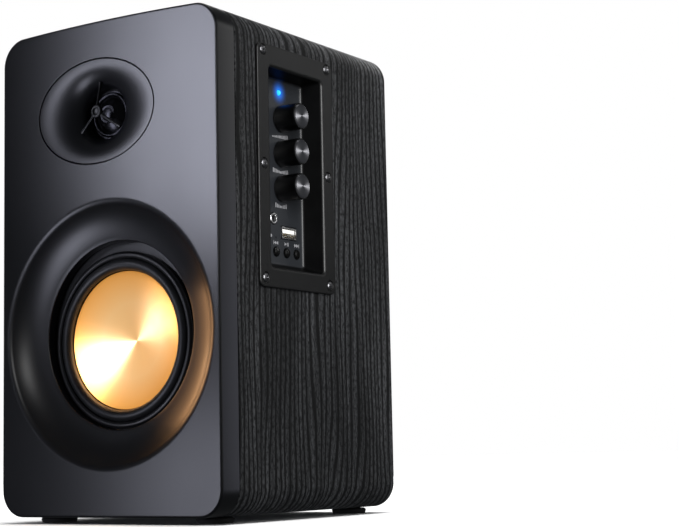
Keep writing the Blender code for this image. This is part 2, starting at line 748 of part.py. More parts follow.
def make_rear():
    """Reflex port, amplifier plate with its sockets and switch, and the electronics behind it."""
    port = [
        (PORT_RADIUS + 5.5 * MM, 1.2 * MM),
        (PORT_RADIUS + 2.6 * MM, 0.4 * MM),
        (PORT_RADIUS + 0.8 * MM, -2.0 * MM),
        (PORT_RADIUS, -6.0 * MM),
        (PORT_RADIUS, -PORT_LENGTH),
        (PORT_RADIUS + 2 * MM, -PORT_LENGTH),
        (PORT_RADIUS + 2 * MM, -3.0 * MM),
        (PORT_RADIUS + 2.2 * MM, -GAP - PLATE_THICKNESS + 1.8 * MM),
        (PORT_RADIUS + 9.5 * MM, GAP),
        (PORT_RADIUS + 9.5 * MM, 0.9 * MM),
        (PORT_RADIUS + 8.9 * MM, 1.5 * MM),
    ]
    turned("port_tube", port, BLACK, (0, DEPTH, PORT_Z), REAR, 24, loop=True)

    back = DEPTH + GAP
    limits = grown(((0, PLATE_CENTRE_Z), (0, PLATE_CENTRE_Z)), PLATE_HALF)
    outline = rounded_outline(*limits, 4 * MM)
    plate = lofted(
        "amp_plate",
        [[(x, depth, z) for x, z in outline] for depth in (back, REAR_FACE)],
        PANEL,
    )
    screw = screw_mesh("plate_screw")
    for i, (x, z) in enumerate(plate_screw_places()):
        cut(plate, rod(f"plate_hole_{i}", 1.4 * MM, (x, REAR_FACE, z), REAR, -5 * MM, 5 * MM, 8))
        place(f"plate_screw_{i + 1}", screw, STEEL, (x, REAR_FACE + GAP, z), REAR)

    make_line_in(plate)
    make_terminals(plate)
    make_inlet(plate)
    make_switch(plate)

    inside = DEPTH - BOARD
    board = inside - 14 * MM
    low, high = (-46 * MM, board, 60 * MM), (46 * MM, board + CIRCUIT_THICKNESS, 118 * MM)
    box("amp_board", low, high, BOARD_GREEN)
    low, high = (-44 * MM, 92 * MM, WALL + GAP), (8 * MM, 126 * MM, 52 * MM)
    box("transformer", low, high, STEEL, 1.5 * MM)
    make_heat_sink(board - GAP)


def make_heat_sink(front):
    """Finned block on the amplifier board."""
    base = 3 * MM
    low_z, high_z = 66 * MM, 112 * MM
    sink = box("heat_sink", (-20 * MM, front - base, low_z), (20 * MM, front, high_z), ALUMINIUM)
    fins = 5
    for i in range(fins):
        x = (-18 + 36 * i / (fins - 1)) * MM
        low = (x - 1 * MM, front - 16 * MM, low_z)
        high = (x + 1 * MM, front - base + 1 * MM, high_z)
        join(sink, box(f"sink_fin_{i}", low, high, None))


def make_line_in(plate):
    """Pair of line sockets on one moulded base."""
    x, z = LINE_IN_PLACE
    half = LINE_IN_SPACING / 2
    base = box(
        "line_in_jacks",
        (x - half - 7 * MM, REAR_FACE + GAP, z - 7 * MM),
        (x + half + 7 * MM, REAR_FACE + 2.2 * MM, z + 7 * MM),
        BLACK,
        0.4 * MM,
    )
    for i, side in enumerate((-half, half)):
        at = (x + side, REAR_FACE, z)
        join(base, rod(f"jack_barrel_{i}", 4.15 * MM, at, REAR, -9 * MM, JACK_REACH, 14))
        cut(base, rod(f"jack_bore_{i}", 1.6 * MM, at, REAR, 1 * MM, JACK_REACH + 2 * MM, 8))
        cut(plate, rod(f"jack_hole_{i}", 4.6 * MM, at, REAR, -5 * MM, 5 * MM, 12))


def make_terminals(plate):
    """Block of two sprung speaker terminals, each with a lever hinged at its lower end."""
    x, z = TERMINAL_PLACE
    half_x, half_z = TERMINAL_SIZE[0] / 2, TERMINAL_SIZE[1] / 2
    proud = REAR_FACE + 4 * MM
    block = box(
        "terminal_block",
        (x - half_x, REAR_FACE - 10 * MM, z - half_z),
        (x + half_x, proud, z + half_z),
        BLACK,
        0.5 * MM,
    )
    clear = 0.5 * MM
    hole_low = (x - half_x - clear, REAR_FACE - 5 * MM, z - half_z - clear)
    hole_high = (x + half_x + clear, REAR_FACE + 5 * MM, z + half_z + clear)
    cut(plate, box("terminal_window", hole_low, hole_high, None))
    width, thick, tall = LEVER_SIZE
    paints = {"negative": BLACK, "positive": LEVER_RED}
    for i, (name, paint) in enumerate(paints.items()):
        lever_x = x + (i - 0.5) * LEVER_SPACING
        low_z = z - 3 * MM
        pocket = box(
            f"lever_pocket_{name}",
            (lever_x - width / 2 - clear, proud - 9 * MM, low_z - 2.2 * MM),
            (lever_x + width / 2 + clear, proud + 2 * MM, low_z + tall + clear),
            None,
        )
        wire = rod(f"wire_hole_{name}", 1.5 * MM, (lever_x, proud, z - 9 * MM), REAR, -8 * MM, 2 * MM, 12)
        cut(block, pocket, wire)
        lever = place(
            f"{name}_lever",
            box_mesh(f"{name}_lever", (width, thick, tall), 0.5 * MM),
            paint,
            (lever_x, proud - thick / 2 + 0.8 * MM, low_z + tall / 2),
        )
        # The lever's origin is its hinge line, at the lower end
        for vertex in lever.data.vertices:
            vertex.co.z += tall / 2
        lever.location.z = low_z


def make_inlet(plate):
    """Two-pin mains inlet: a socket open at the rear with its pins inside."""
    x, z = INLET_PLACE
    at = (x, REAR_FACE, z)
    block = box(
        "power_inlet",
        (x - 13 * MM, REAR_FACE - 14 * MM, z - 7.5 * MM),
        (x + 13 * MM, REAR_FACE + 2 * MM, z + 7.5 * MM),
        BLACK,
        0.5 * MM,
    )
    outline = rounded_outline((x - 9.8 * MM, z - 4.5 * MM), (x + 9.8 * MM, z + 4.5 * MM), 4.2 * MM)
    cavity = [[(u, depth, v) for u, v in outline] for depth in (REAR_FACE - 11 * MM, REAR_FACE + 4 * MM)]
    cut(block, lofted("inlet_cavity", cavity, None))
    for side in (-1, 1):
        pin_at = (at[0] + side * 4.3 * MM, at[1], at[2])
        join(block, rod(f"inlet_pin_{side}", 1.2 * MM, pin_at, REAR, -12 * MM, -1 * MM, 10))
    clear = 0.4 * MM
    hole_low = (x - 13 * MM - clear, REAR_FACE - 5 * MM, z - 7.5 * MM - clear)
    hole_high = (x + 13 * MM + clear, REAR_FACE + 5 * MM, z + 7.5 * MM + clear)
    cut(plate, box("inlet_window", hole_low, hole_high, None))


def make_switch(plate):
    """Mains rocker switch: open housing and a rocker that rests tilted to one side."""
    x, z = SWITCH_PLACE
    half_x, half_z = SWITCH_SIZE[0] / 2, SWITCH_SIZE[1] / 2
    wall = 1.5 * MM
    housing = box(
        "switch_housing",
        (x - half_x - wall, REAR_FACE - 14 * MM, z - half_z - wall),
        (x + half_x + wall, REAR_FACE + 1.6 * MM, z + half_z + wall),
        BLACK,
        0.5 * MM,
    )
    well_low = (x - half_x, REAR_FACE - 10 * MM, z - half_z)
    well_high = (x + half_x, REAR_FACE + 4 * MM, z + half_z)
    cut(housing, box("switch_well", well_low, well_high, None))
    clear = 0.4 * MM
    out = wall + clear
    hole_low = (x - half_x - out, REAR_FACE - 5 * MM, z - half_z - out)
    hole_high = (x + half_x + out, REAR_FACE + 5 * MM, z + half_z + out)
    cut(plate, box("switch_window", hole_low, hole_high, None))

    # Rocker section in its own y (out of the plate) and z, with the hinge line at 0
    tip = half_z - 0.8 * MM
    section = [
        (-4.5 * MM, -3 * MM),
        (-4.5 * MM, 3 * MM),
        (0, tip),
        (4.2 * MM, tip - 0.7 * MM),
        (2.6 * MM, 0),
        (4.2 * MM, -tip + 0.7 * MM),
        (0, -tip),
    ]
    across = half_x - 0.5 * MM
    loops = [[(side * across, y, z) for y, z in section] for side in (-1, 1)]
    rocker = lofted("power_rocker", loops, BLACK, (x, REAR_FACE - 1.5 * MM, z))
    rocker.rotation_euler = (SWITCH_TILT, 0, 0)


make_cabinet()
make_woofer()
make_tweeter()
make_control_panel()
make_rear()
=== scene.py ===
"""Looks of the powered bookshelf speaker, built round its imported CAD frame.

Places are in the cabinet frame: x to the right seen from the front, y as the depth
behind the front face and z up from the cabinet's underside. A turned piece is drawn as
(radius, height) points, where height grows out of the face that the piece sits on.
"""

import json
import math

import bmesh
import bpy
from mathutils import Euler, Matrix, Vector

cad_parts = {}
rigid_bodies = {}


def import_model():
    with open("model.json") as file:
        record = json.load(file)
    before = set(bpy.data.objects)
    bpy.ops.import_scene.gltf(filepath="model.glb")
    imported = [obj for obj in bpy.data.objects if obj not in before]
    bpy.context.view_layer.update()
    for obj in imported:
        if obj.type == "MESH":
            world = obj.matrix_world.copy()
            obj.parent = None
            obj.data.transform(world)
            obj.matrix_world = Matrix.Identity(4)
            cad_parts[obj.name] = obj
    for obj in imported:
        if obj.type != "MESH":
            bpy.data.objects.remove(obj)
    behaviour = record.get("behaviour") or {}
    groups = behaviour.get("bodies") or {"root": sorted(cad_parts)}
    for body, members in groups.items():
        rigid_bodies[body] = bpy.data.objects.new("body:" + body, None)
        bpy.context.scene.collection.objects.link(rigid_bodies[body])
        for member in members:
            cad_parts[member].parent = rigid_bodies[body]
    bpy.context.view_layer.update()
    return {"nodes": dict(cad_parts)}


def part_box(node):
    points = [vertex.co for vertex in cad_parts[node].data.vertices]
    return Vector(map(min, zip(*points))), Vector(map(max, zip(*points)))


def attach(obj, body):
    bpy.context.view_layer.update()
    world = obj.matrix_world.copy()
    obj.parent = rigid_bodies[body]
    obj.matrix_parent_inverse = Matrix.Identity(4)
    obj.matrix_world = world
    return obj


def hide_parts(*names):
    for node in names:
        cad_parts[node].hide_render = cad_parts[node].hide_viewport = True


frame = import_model()

MM = 0.001
FULL = 2 * math.pi
UP = (0, 0, 0)
FRONT = (math.pi / 2, 0, 0)
REAR = (-math.pi / 2, 0, 0)
RIGHT = (0, math.pi / 2, 0)

# Edges that turn by more than this stay sharp
SHARP = math.radians(32)


# ---------------------------------------------------------------- sizes from the frame


def centre_of(node):
    """Middle of a CAD node's box, in the row frame."""
    low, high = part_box(node)
    return (low + high) / 2


def size_of(node):
    """Size of a CAD node's box."""
    low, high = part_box(node)
    return high - low


baffle_low, baffle_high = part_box("front_baffle")
ORIGIN = Vector(((baffle_low.x + baffle_high.x) / 2, baffle_low.y, baffle_low.z))
SIDE = (baffle_high.x - baffle_low.x) / 2
BAFFLE = baffle_high.y - baffle_low.y
TOP = baffle_high.z - ORIGIN.z
SHELL_FRONT, DEPTH = (corner.y - ORIGIN.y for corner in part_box("cabinet_shell"))


def local(point):
    """A row-frame point in the cabinet frame."""
    return Vector(point) - ORIGIN


def ends(node):
    """Both corners of a CAD node's box, in the cabinet frame."""
    return [local(corner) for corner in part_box(node)]


def middle(node):
    """Middle of a CAD node's box, in the cabinet frame."""
    return local(centre_of(node))


# Cabinet: the top's rise in its middle, outer corners, wall, fitting gap and the board's soft edge
TOP_CROWN = 1.8 * MM
HEIGHT = TOP - TOP_CROWN
CORNER_RADIUS = 13.7 * MM
WALL = 9 * MM
GAP = 0.3 * MM
EDGE = 1.2 * MM

# Drivers: where each sits, the woofer's bowl and its throat, and the waveguide's half width and height
WOOFER = Vector((0, 0.8 * MM, middle("woofer_cone").z))
BOWL_Z = 91 * MM
BOWL_RADIUS = 68.8 * MM
THROAT = 47.8 * MM
TWEETER = Vector((middle("tweeter_dome").x, 0, middle("tweeter_dome").z))
WAVEGUIDE = (size_of("tweeter_waveguide").x / 2, size_of("tweeter_waveguide").z / 2)
BOWL_SEGMENTS = 160
OVAL_SEGMENTS = 128

# Control panel: its planes that face +X, and (depth, height) corners of its parts and its window
FLOOR = ends("usb_port")[1].x - 0.2 * MM
KNOB_END = ends("volume_knob_cap")[1].x
PANEL_BACK, FLANGE_FACE = (corner.x for corner in ends("control_panel"))
FLANGE = ((31.3 * MM, 112 * MM), (98 * MM, 235.5 * MM))
OPENING = ((39.8 * MM, 120.9 * MM), (89.7 * MM, 225.7 * MM))
WALL_FOOT = ((42.2 * MM, 125.9 * MM), (86.9 * MM, 223.5 * MM))
WINDOW = ((40 * MM, 121 * MM), (89.5 * MM, 225.5 * MM))
PANEL_SCREWS = [f"panel_screw_{i}" for i in range(1, 7)]
KNOBS = ("volume", "treble", "bass")
BUTTONS = ("previous", "play", "next")

# Rear side: the amplifier plate's face, and its screws
REAR_FACE = ends("amp_plate")[1].y
PLATE_SCREWS = [f"plate_screw_{i}" for i in range(1, 5)]

# Height of a screw's head in millimetres
SCREW_HEAD = 1.05

# Where the rear board's sheet of foil is cut from, in the foil's own lengths
REAR_FOIL = (1.4, 0.3)

# How far out of its surface a printed mark starts and ends
INK = (0.005 * MM, 0.04 * MM)


# ---------------------------------------------------------------------- material tools


class Finish:
    """One material, with short ways to add and join its nodes."""

    def __init__(self, name, colour, roughness, metallic=0.0, **sockets):
        self.material = bpy.data.materials.new(name)
        self.material.use_nodes = True
        self.material.diffuse_color = (*colour, 1)
        self.tree = self.material.node_tree
        self.shader = self.tree.nodes["Principled BSDF"]
        self.put(self.shader, {"Base Color": (*colour, 1), "Roughness": roughness})
        self.put(self.shader, {"Metallic": metallic, **sockets})

    def put(self, node, values):
        """Set or link each input, given by its name or number."""
        for name, value in values.items():
            socket = node.inputs[name]
            if isinstance(value, bpy.types.NodeSocket):
                self.tree.links.new(value, socket)
            else:
                socket.default_value = value

    def node(self, kind, inputs=None, **settings):
        made = self.tree.nodes.new("ShaderNode" + kind)
        for name, value in settings.items():
            setattr(made, name, value)
        self.put(made, inputs or {})
        return made

    def place(self, scale=(1, 1, 1)):
        """Object coordinates in metres, stretched by a scale."""
        start = self.node("TexCoord").outputs["Object"]
        return self.node("Mapping", {"Vector": start, "Scale": scale}).outputs[0]

    def from_axis(self, where):
        """Distance of a place from the object's own Z."""
        flat = self.node("VectorMath", {0: where, 1: (1, 1, 0)}, operation="MULTIPLY").outputs[0]
        return self.node("VectorMath", {0: flat}, operation="LENGTH").outputs["Value"]

    def noise(self, vector, scale, detail, rough=0.55, distortion=0.0):
        made = self.node("TexNoise", {"Vector": vector, "Scale": scale, "Detail": detail})
        self.put(made, {"Roughness": rough, "Distortion": distortion})
        return made.outputs["Fac"]

    def span(self, value, low, high, to_low=0.0, to_high=1.0):
        """Map one range of a value onto another, clamped."""
        made = self.node("MapRange", {"Value": value, "From Min": low, "From Max": high})
        self.put(made, {"To Min": to_low, "To Max": to_high})
        return made.outputs["Result"]

    def math(self, operation, a, b=0.0):
        return self.node("Math", {0: a, 1: b}, operation=operation).outputs[0]

    def blend(self, share, a, b):
        """Mix two colours."""
        first, second = (c if isinstance(c, bpy.types.NodeSocket) else (*c, 1) for c in (a, b))
        return self.node("Mix", {0: share, 6: first, 7: second}, data_type="RGBA").outputs[2]

    def bump(self, height, distance, strength, normal=None):
        values = {"Height": height, "Distance": distance, "Strength": strength}
        if normal:
            values["Normal"] = normal
        return self.node("Bump", values).outputs[0]

    def finish(self, **outputs):
        """Link worked-out values to the shader."""
        names = {"colour": "Base Color", "roughness": "Roughness", "normal": "Normal"}
        self.put(self.shader, {names[name]: value for name, value in outputs.items()})
        return self.material


def moulded(name, colour, roughness, grain=0.02 * MM, grain_scale=2500):
    """Moulded plastic or rubber: fine grain, slight tone changes and handling marks."""
    made = Finish(name, colour, roughness)
    where = made.place()
    cloud = made.noise(where, 60, 4)
    fine = made.noise(where, grain_scale, 2)
    lighter = [min(1.0, c * 1.25 + 0.002) for c in colour]
    darker = [c * 0.8 for c in colour]
    return made.finish(
        colour=made.blend(made.span(cloud, 0.3, 0.7), darker, lighter),
        roughness=made.span(cloud, 0.3, 0.7, roughness - 0.05, roughness + 0.07),
        normal=made.bump(fine, grain, 0.6),
    )


def brushed(name, colour, roughness, scale=(40, 40, 4000)):
    """Metal with fine straight marks along one direction."""
    made = Finish(name, colour, roughness, 1.0)
    marks = made.noise(made.place(scale), 1, 3)
    cloud = made.noise(made.place(), 45, 3)
    dull = [c * 0.82 for c in colour]
    return made.finish(
        colour=made.blend(made.span(cloud, 0.3, 0.75), dull, colour),
        roughness=made.span(marks, 0.2, 0.8, roughness - 0.08, roughness + 0.12),
        normal=made.bump(marks, 0.01 * MM, 0.5),
    )


def spun(name, colour, roughness, anisotropy, edge, groove=0.12 * MM, tint=(0.8, 0.8, 0.8)):
    """Metal turned on a lathe: grooves round its own Z, and a tint that grows to its edge radius."""
    grooves = {"Anisotropic": anisotropy, "Anisotropic Rotation": 0.25}
    made = Finish(name, colour, roughness, 1.0, **grooves)
    tangent = made.node("Tangent", direction_type="RADIAL", axis="Z")
    made.put(made.shader, {"Tangent": tangent.outputs[0]})
    where = made.node("TexCoord").outputs["Object"]
    radius = made.from_axis(where)
    ring = made.node("CombineXYZ", {"X": made.math("DIVIDE", radius, groove)}).outputs[0]
    rings = made.noise(ring, 1.0, 4, 0.7)
    cloud = made.noise(where, 55, 3)
    wear = made.math("ADD", rings, cloud)
    deep = [c * k for c, k in zip(colour, tint)]
    return made.finish(
        colour=made.blend(made.span(radius, edge * 0.55, edge), colour, deep),
        roughness=made.span(wear, 0.7, 1.3, roughness - 0.05, roughness + 0.06),
        normal=made.bump(rings, 0.004 * MM, 0.35),
    )


# --------------------------------------------------------------------------- materials


def satin_paint():
    """Front board: sprayed satin lacquer with a faint orange peel and a few wiped patches."""
    made = Finish("satin_paint", (0.007, 0.0074, 0.009), 0.3)
    where = made.place()
    peel = made.noise(where, 900, 2)
    cloud = made.noise(where, 14, 4)
    dust = made.noise(where, 2600, 1)
    darker, lighter = (0.0062, 0.0065, 0.008), (0.0074, 0.0078, 0.0096)
    return made.finish(
        colour=made.blend(made.span(cloud, 0.3, 0.7), darker, lighter),
        roughness=made.span(cloud, 0.3, 0.7, 0.306, 0.336),
        normal=made.bump(dust, 0.004 * MM, 0.5, made.bump(peel, 0.012 * MM, 0.35)),
    )


def ash_foil():
    """Black ash foil: long pores, cathedral figure and a soft emboss, laid by the wrap attribute.

    wrap.x runs round the cabinet along the grain and wrap.y is the depth across it.
    """
    made = Finish("ash_foil", (0.03, 0.03, 0.032), 0.5)
    wrap = made.node("Attribute", attribute_name="wrap").outputs["Vector"]

    def field(scale, detail, rough=0.55):
        stretched = made.node("Mapping", {"Vector": wrap, "Scale": scale}).outputs[0]
        return made.noise(stretched, 1.0, detail, rough)

    # Growth rings: the depth pushed about by slow waves, then cut into bands
    split = made.node("SeparateXYZ", {"Vector": wrap})
    drift = made.math("MULTIPLY", field((3.2, 15, 1), 2.0), 0.05)
    wander = made.math("MULTIPLY", field((16, 60, 1), 2.0), 0.0035)
    across = made.math("ADD", made.math("ADD", split.outputs["Y"], drift), wander)
    bands = made.math("SINE", made.math("MULTIPLY", across, FULL / (4.5 * MM)))
    band = made.span(bands, -0.85, 0.1, 0.05, 1.0)

    pores = made.span(field((300, 1050, 1), 4.0, 0.75), 0.42, 0.56, 0.15, 1.0)
    streaks = made.span(field((11, 430, 1), 4.0, 0.6), 0.4, 0.6, 0.4, 1.0)
    patches = made.span(field((7, 30, 1), 3.0), 0.34, 0.62, 0.4, 1.0)
    grain = made.math("MULTIPLY", band, streaks)
    tone = made.math("MULTIPLY", made.math("MULTIPLY", grain, patches), pores)
    relief = made.math("MULTIPLY", grain, pores)
    return made.finish(
        colour=made.blend(tone, (0.0022, 0.0023, 0.0028), (0.36, 0.367, 0.385)),
        roughness=made.span(relief, 0.1, 0.8, 0.66, 0.4),
        normal=made.bump(relief, 0.1 * MM, 0.6),
    )


def fibreboard():
    """Raw board: matted fibres and a dusty surface."""
    made = Finish("fibreboard", (0.33, 0.22, 0.13), 0.85)
    where = made.place()
    fibres = made.noise(where, 1400, 4, 0.7, 0.6)
    cloud = made.noise(where, 70, 3)
    return made.finish(
        colour=made.blend(made.math("MULTIPLY", fibres, cloud), (0.22, 0.14, 0.08), (0.5, 0.36, 0.23)),
        roughness=made.span(fibres, 0.3, 0.7, 0.78, 0.92),
        normal=made.bump(fibres, 0.08 * MM, 0.6),
    )


def woven(name, dark, light, pitch):
    """Resin-dipped cloth: a plain weave of two crossed waves."""
    made = Finish(name, light, 0.85, **{"Sheen Weight": 0.3})
    where = made.place()
    thread = {"Vector": where, "Scale": pitch, "Distortion": 0.4}
    warp, weft = (made.node("TexWave", thread, bands_direction=way).outputs["Fac"] for way in "XY")
    weave = made.math("MULTIPLY", warp, weft)
    fuzz = made.noise(where, 900, 3)
    return made.finish(
        colour=made.blend(weave, dark, light),
        roughness=made.span(fuzz, 0.3, 0.7, 0.75, 0.95),
        normal=made.bump(weave, 0.1 * MM, 0.8),
    )


def circuit_green():
    """Circuit board: solder mask over etched tracks."""
    made = Finish("circuit_green", (0.02, 0.13, 0.05), 0.35)
    where = made.place()
    tracks = made.node("TexBrick", {"Vector": where, "Scale": 320.0, "Mortar Size": 0.08})
    mask = made.noise(where, 160, 3)
    return made.finish(
        colour=made.blend(tracks.outputs["Fac"], (0.012, 0.1, 0.04), (0.03, 0.19, 0.08)),
        roughness=made.span(mask, 0.3, 0.7, 0.28, 0.45),
        normal=made.bump(tracks.outputs["Fac"], 0.03 * MM, 0.5),
    )


def lit_lens():
    """LED lens: tinted, and lit brightest in its middle."""
    made = Finish("lit_lens", (0.02, 0.2, 0.9), 0.12, **{"Emission Strength": 1.15})
    where = made.node("TexCoord").outputs["Object"]
    core = made.span(made.from_axis(where), 0.6 * MM, 1.6 * MM)
    frost = made.noise(where, 1800, 2)
    made.put(made.shader, {"Emission Color": made.blend(core, (0.07, 0.78, 1.0), (0.02, 0.55, 1.0))})
    return made.finish(
        roughness=made.span(frost, 0.3, 0.7, 0.08, 0.2),
        normal=made.bump(frost, 0.01 * MM, 0.3),
    )


def textured_panel():
    """Control panel: fine spark-eroded moulding, with the status light's glow painted round its lens as
    emission.
    """
    painted_glow_colour = {"Emission Color": (0.0, 0.14, 0.72, 1)}
    made = Finish("textured_panel", (0.01, 0.01, 0.011), 0.45, **painted_glow_colour)
    where = made.place()
    spark = made.noise(where, 3200, 3, 0.7)
    cloud = made.noise(where, 50, 4)
    # Painted glow: the panel's own emission stands in for the status light's light falling round its lens
    spot = middle("status_led")
    spot.x = FLOOR
    away = made.node("VectorMath", {0: where, 1: spot}, operation="DISTANCE").outputs["Value"]
    painted_led_glow = made.math("POWER", made.span(away, 1.8 * MM, 8.0 * MM, 1.0, 0.0), 2.8)
    made.put(made.shader, {"Emission Strength": made.math("MULTIPLY", painted_led_glow, 1.15)})
    # The tub's floor is painted a shade lighter than the rest as a painted sheen, and its walls came
    # duller from the mould
    x = made.node("SeparateXYZ", {"Vector": where}).outputs["X"]
    floor = made.span(x, FLOOR, FLOOR + 0.9 * MM, 1.0, 0.0)
    above = made.span(x, FLOOR + 1.0 * MM, FLOOR + 1.7 * MM)
    below = made.span(x, FLANGE_FACE - 1.6 * MM, FLANGE_FACE - 1.1 * MM, 1.0, 0.0)
    shine = made.span(made.math("MULTIPLY", above, below), 0.0, 1.0, 0.42, 0.04)
    made.put(made.shader, {"Specular IOR Level": shine})
    rest = made.blend(made.span(cloud, 0.3, 0.7), (0.0014, 0.0014, 0.0015), (0.0028, 0.0029, 0.003))
    return made.finish(
        # Painted sheen: the floor's lighter colour stands in for light the floor catches, not for the
        # moulding's own tone
        colour=made.blend(floor, rest, (0.012, 0.0135, 0.016)),
        roughness=made.span(spark, 0.3, 0.7, 0.4, 0.52),
        normal=made.bump(spark, 0.02 * MM, 0.45),
    )


PAINT = satin_paint()
FOIL = ash_foil()
BOARD = fibreboard()
PANEL = textured_panel()
BLACK = moulded("black_moulding", (0.012, 0.012, 0.013), 0.38)
KNOB_BLACK = moulded("knob_black", (0.006, 0.006, 0.0065), 0.42, 0.01 * MM, 3800)
PLATE = moulded("plate_paint", (0.018, 0.018, 0.019), 0.5, 0.05 * MM, 1500)
RUBBER = moulded("surround_rubber", (0.014, 0.0145, 0.016), 0.42, 0.012 * MM, 1700)
FOOT_RUBBER = moulded("foot_rubber", (0.01, 0.01, 0.01), 0.75, 0.03 * MM, 1500)
GOLD = spun("spun_gold", (0.95, 0.58, 0.245), 0.44, 0.8, 35 * MM, tint=(0.97, 0.72, 0.36))
CAP_METAL = spun("spun_aluminium", (0.5, 0.5, 0.53), 0.4, 0.85, 6.4 * MM, 0.07 * MM)
DOME = spun("dome_film", (0.03, 0.03, 0.034), 0.26, 0.0, 9.5 * MM, 0.2 * MM)
CLOTH = woven("spider_weave", (0.16, 0.09, 0.03), (0.5, 0.33, 0.14), 900.0)
STEEL = brushed("plated_steel", (0.58, 0.58, 0.6), 0.32)
DARK_STEEL = brushed("blacked_steel", (0.2, 0.2, 0.21), 0.3)
NICKEL = brushed("nickel", (0.74, 0.74, 0.75), 0.24, (900, 900, 900))
FERRITE = moulded("ferrite", (0.045, 0.045, 0.05), 0.6, 0.06 * MM, 900)
COPPER = brushed("copper_winding", (0.65, 0.3, 0.16), 0.35, (20, 9000, 20))
ALUMINIUM = brushed("extruded_aluminium", (0.7, 0.71, 0.73), 0.3)
LENS = lit_lens()
GREEN = circuit_green()
RED = moulded("red_moulding", (0.42, 0.015, 0.012), 0.35)
WHITE = moulded("white_moulding", (0.78, 0.77, 0.73), 0.38)
KEY_BLACK = moulded("key_black", (0.01, 0.01, 0.0105), 0.28, 0.008 * MM, 3000)
GOLD_PLATE = brushed("gold_plate", (0.8, 0.6, 0.25), 0.25, (900, 900, 900))
PRINT = moulded("white_print", (0.2, 0.2, 0.21), 0.55, 0.01 * MM, 3000)


# ------------------------------------------------------------------------- mesh tools


def round_turns(count):
    """The angles that divide a circle."""
    return [FULL * i / count for i in range(count)]


def arc(centre, radius, start, end, steps):
    """Points of an arc between two angles in degrees."""
    angles = [math.radians(start + (end - start) * i / steps) for i in range(steps + 1)]
    return [(centre[0] + radius * math.cos(a), centre[1] + radius * math.sin(a)) for a in angles]


def softened(corners, steps=4, closed=False):
    """Outline through (a, b, radius) corners, each rounded by an arc of its own radius."""
    count = len(corners)
    points = []
    for i, (a, b, *more) in enumerate(corners):
        corner = Vector((a, b))
        if not more or (not closed and i in (0, count - 1)):
            points.append(tuple(corner))
            continue
        before = Vector(corners[i - 1][:2]) - corner
        after = Vector(corners[(i + 1) % count][:2]) - corner
        half = before.angle(after) / 2
        reach = min(more[0] / math.tan(half), 0.48 * before.length, 0.48 * after.length)
        radius = reach * math.tan(half)
        back, on = before.normalized(), after.normalized()
        centre = corner + (back + on).normalized() * radius / math.sin(half)
        start = corner + back * reach - centre
        end = corner + on * reach - centre
        turn = start.angle(end)
        for k in range(steps + 1):
            near = math.sin(turn * (1 - k / steps))
            far = math.sin(turn * k / steps)
            points.append(tuple(centre + (start * near + end * far) / math.sin(turn)))
    return points


def curve(start, pull, end, steps):
    """Points of a quadratic curve, without its first one."""
    points = []
    for i in range(1, steps + 1):
        t = i / steps
        a, b, c = (1 - t) ** 2, 2 * t * (1 - t), t * t
        points.append(tuple(a * s + b * p + c * e for s, p, e in zip(start, pull, end)))
    return points


def metres(profile):
    """Millimetre points, with their corner radii, in metres."""
    return [tuple(value * MM for value in point) for point in profile]


def to_mesh(name, shape):
    """Turn a bmesh into a mesh whose faces point out."""
    bmesh.ops.recalc_face_normals(shape, faces=shape.faces)
    mesh = bpy.data.meshes.new(name)
    shape.to_mesh(mesh)
    shape.free()
    return mesh


def turned_mesh(name, profile, segments, loop=False):
    """Spin (radius, height) points round +Z; loop closes the profile into a ring's section."""
    shape = bmesh.new()
    points = [shape.verts.new((radius, 0, height)) for radius, height in profile]
    edges = [shape.edges.new(pair) for pair in zip(points, points[1:])]
    if loop:
        edges.append(shape.edges.new((points[-1], points[0])))
    spin = {"cent": (0, 0, 0), "axis": (0, 0, 1), "angle": FULL, "steps": segments}
    bmesh.ops.spin(shape, geom=points + edges, use_merge=True, **spin)
    bmesh.ops.remove_doubles(shape, verts=shape.verts, dist=1e-7)
    return to_mesh(name, shape)


def strip(shape, rows, closed=False):
    """Faces between neighbouring rows of equally many points, each row a closed loop."""
    loops = [[shape.verts.new(point) for point in row] for row in rows]
    pairs = list(zip(loops, loops[1:]))
    if closed:
        pairs.append((loops[-1], loops[0]))
    for near, far in pairs:
        for i in range(len(near)):
            j = (i + 1) % len(near)
            shape.faces.new((near[i], near[j], far[j], far[i]))
    return loops


def capped(shape, rows):
    """A strip closed by a face at each end."""
    loops = strip(shape, rows)
    shape.faces.new(loops[0])
    shape.faces.new(loops[-1])


def lofted_mesh(name, rows, ring=False):
    """Join rows of points; ring joins the last to the first, else both ends are capped."""
    shape = bmesh.new()
    if ring:
        strip(shape, rows, closed=True)
    else:
        capped(shape, rows)
    return to_mesh(name, shape)


def box_mesh(name, low, high, bevel=0.0):
    """A box between two corners, with rounded edges."""
    shape = bmesh.new()
    bmesh.ops.create_cube(shape, size=1)
    low, high = Vector(low), Vector(high)
    bmesh.ops.scale(shape, vec=high - low, verts=shape.verts)
    if bevel:
        round_off = {"offset": bevel, "segments": 3, "affect": "EDGES", "profile": 0.5}
        bmesh.ops.bevel(shape, geom=list(shape.edges), **round_off)
    bmesh.ops.translate(shape, vec=(low + high) / 2, verts=shape.verts)
    return to_mesh(name, shape)


def seat(at=(0, 0, 0), turn=UP):
    """Matrix that puts a piece at a cabinet-frame place with a turn."""
    return Matrix.Translation(ORIGIN + Vector(at)) @ Euler(turn).to_matrix().to_4x4()


def stand(name, mesh, matrix):
    """An object for a mesh, in the scene."""
    made = bpy.data.objects.new(name, mesh)
    made.matrix_world = matrix
    bpy.context.scene.collection.objects.link(made)
    return made


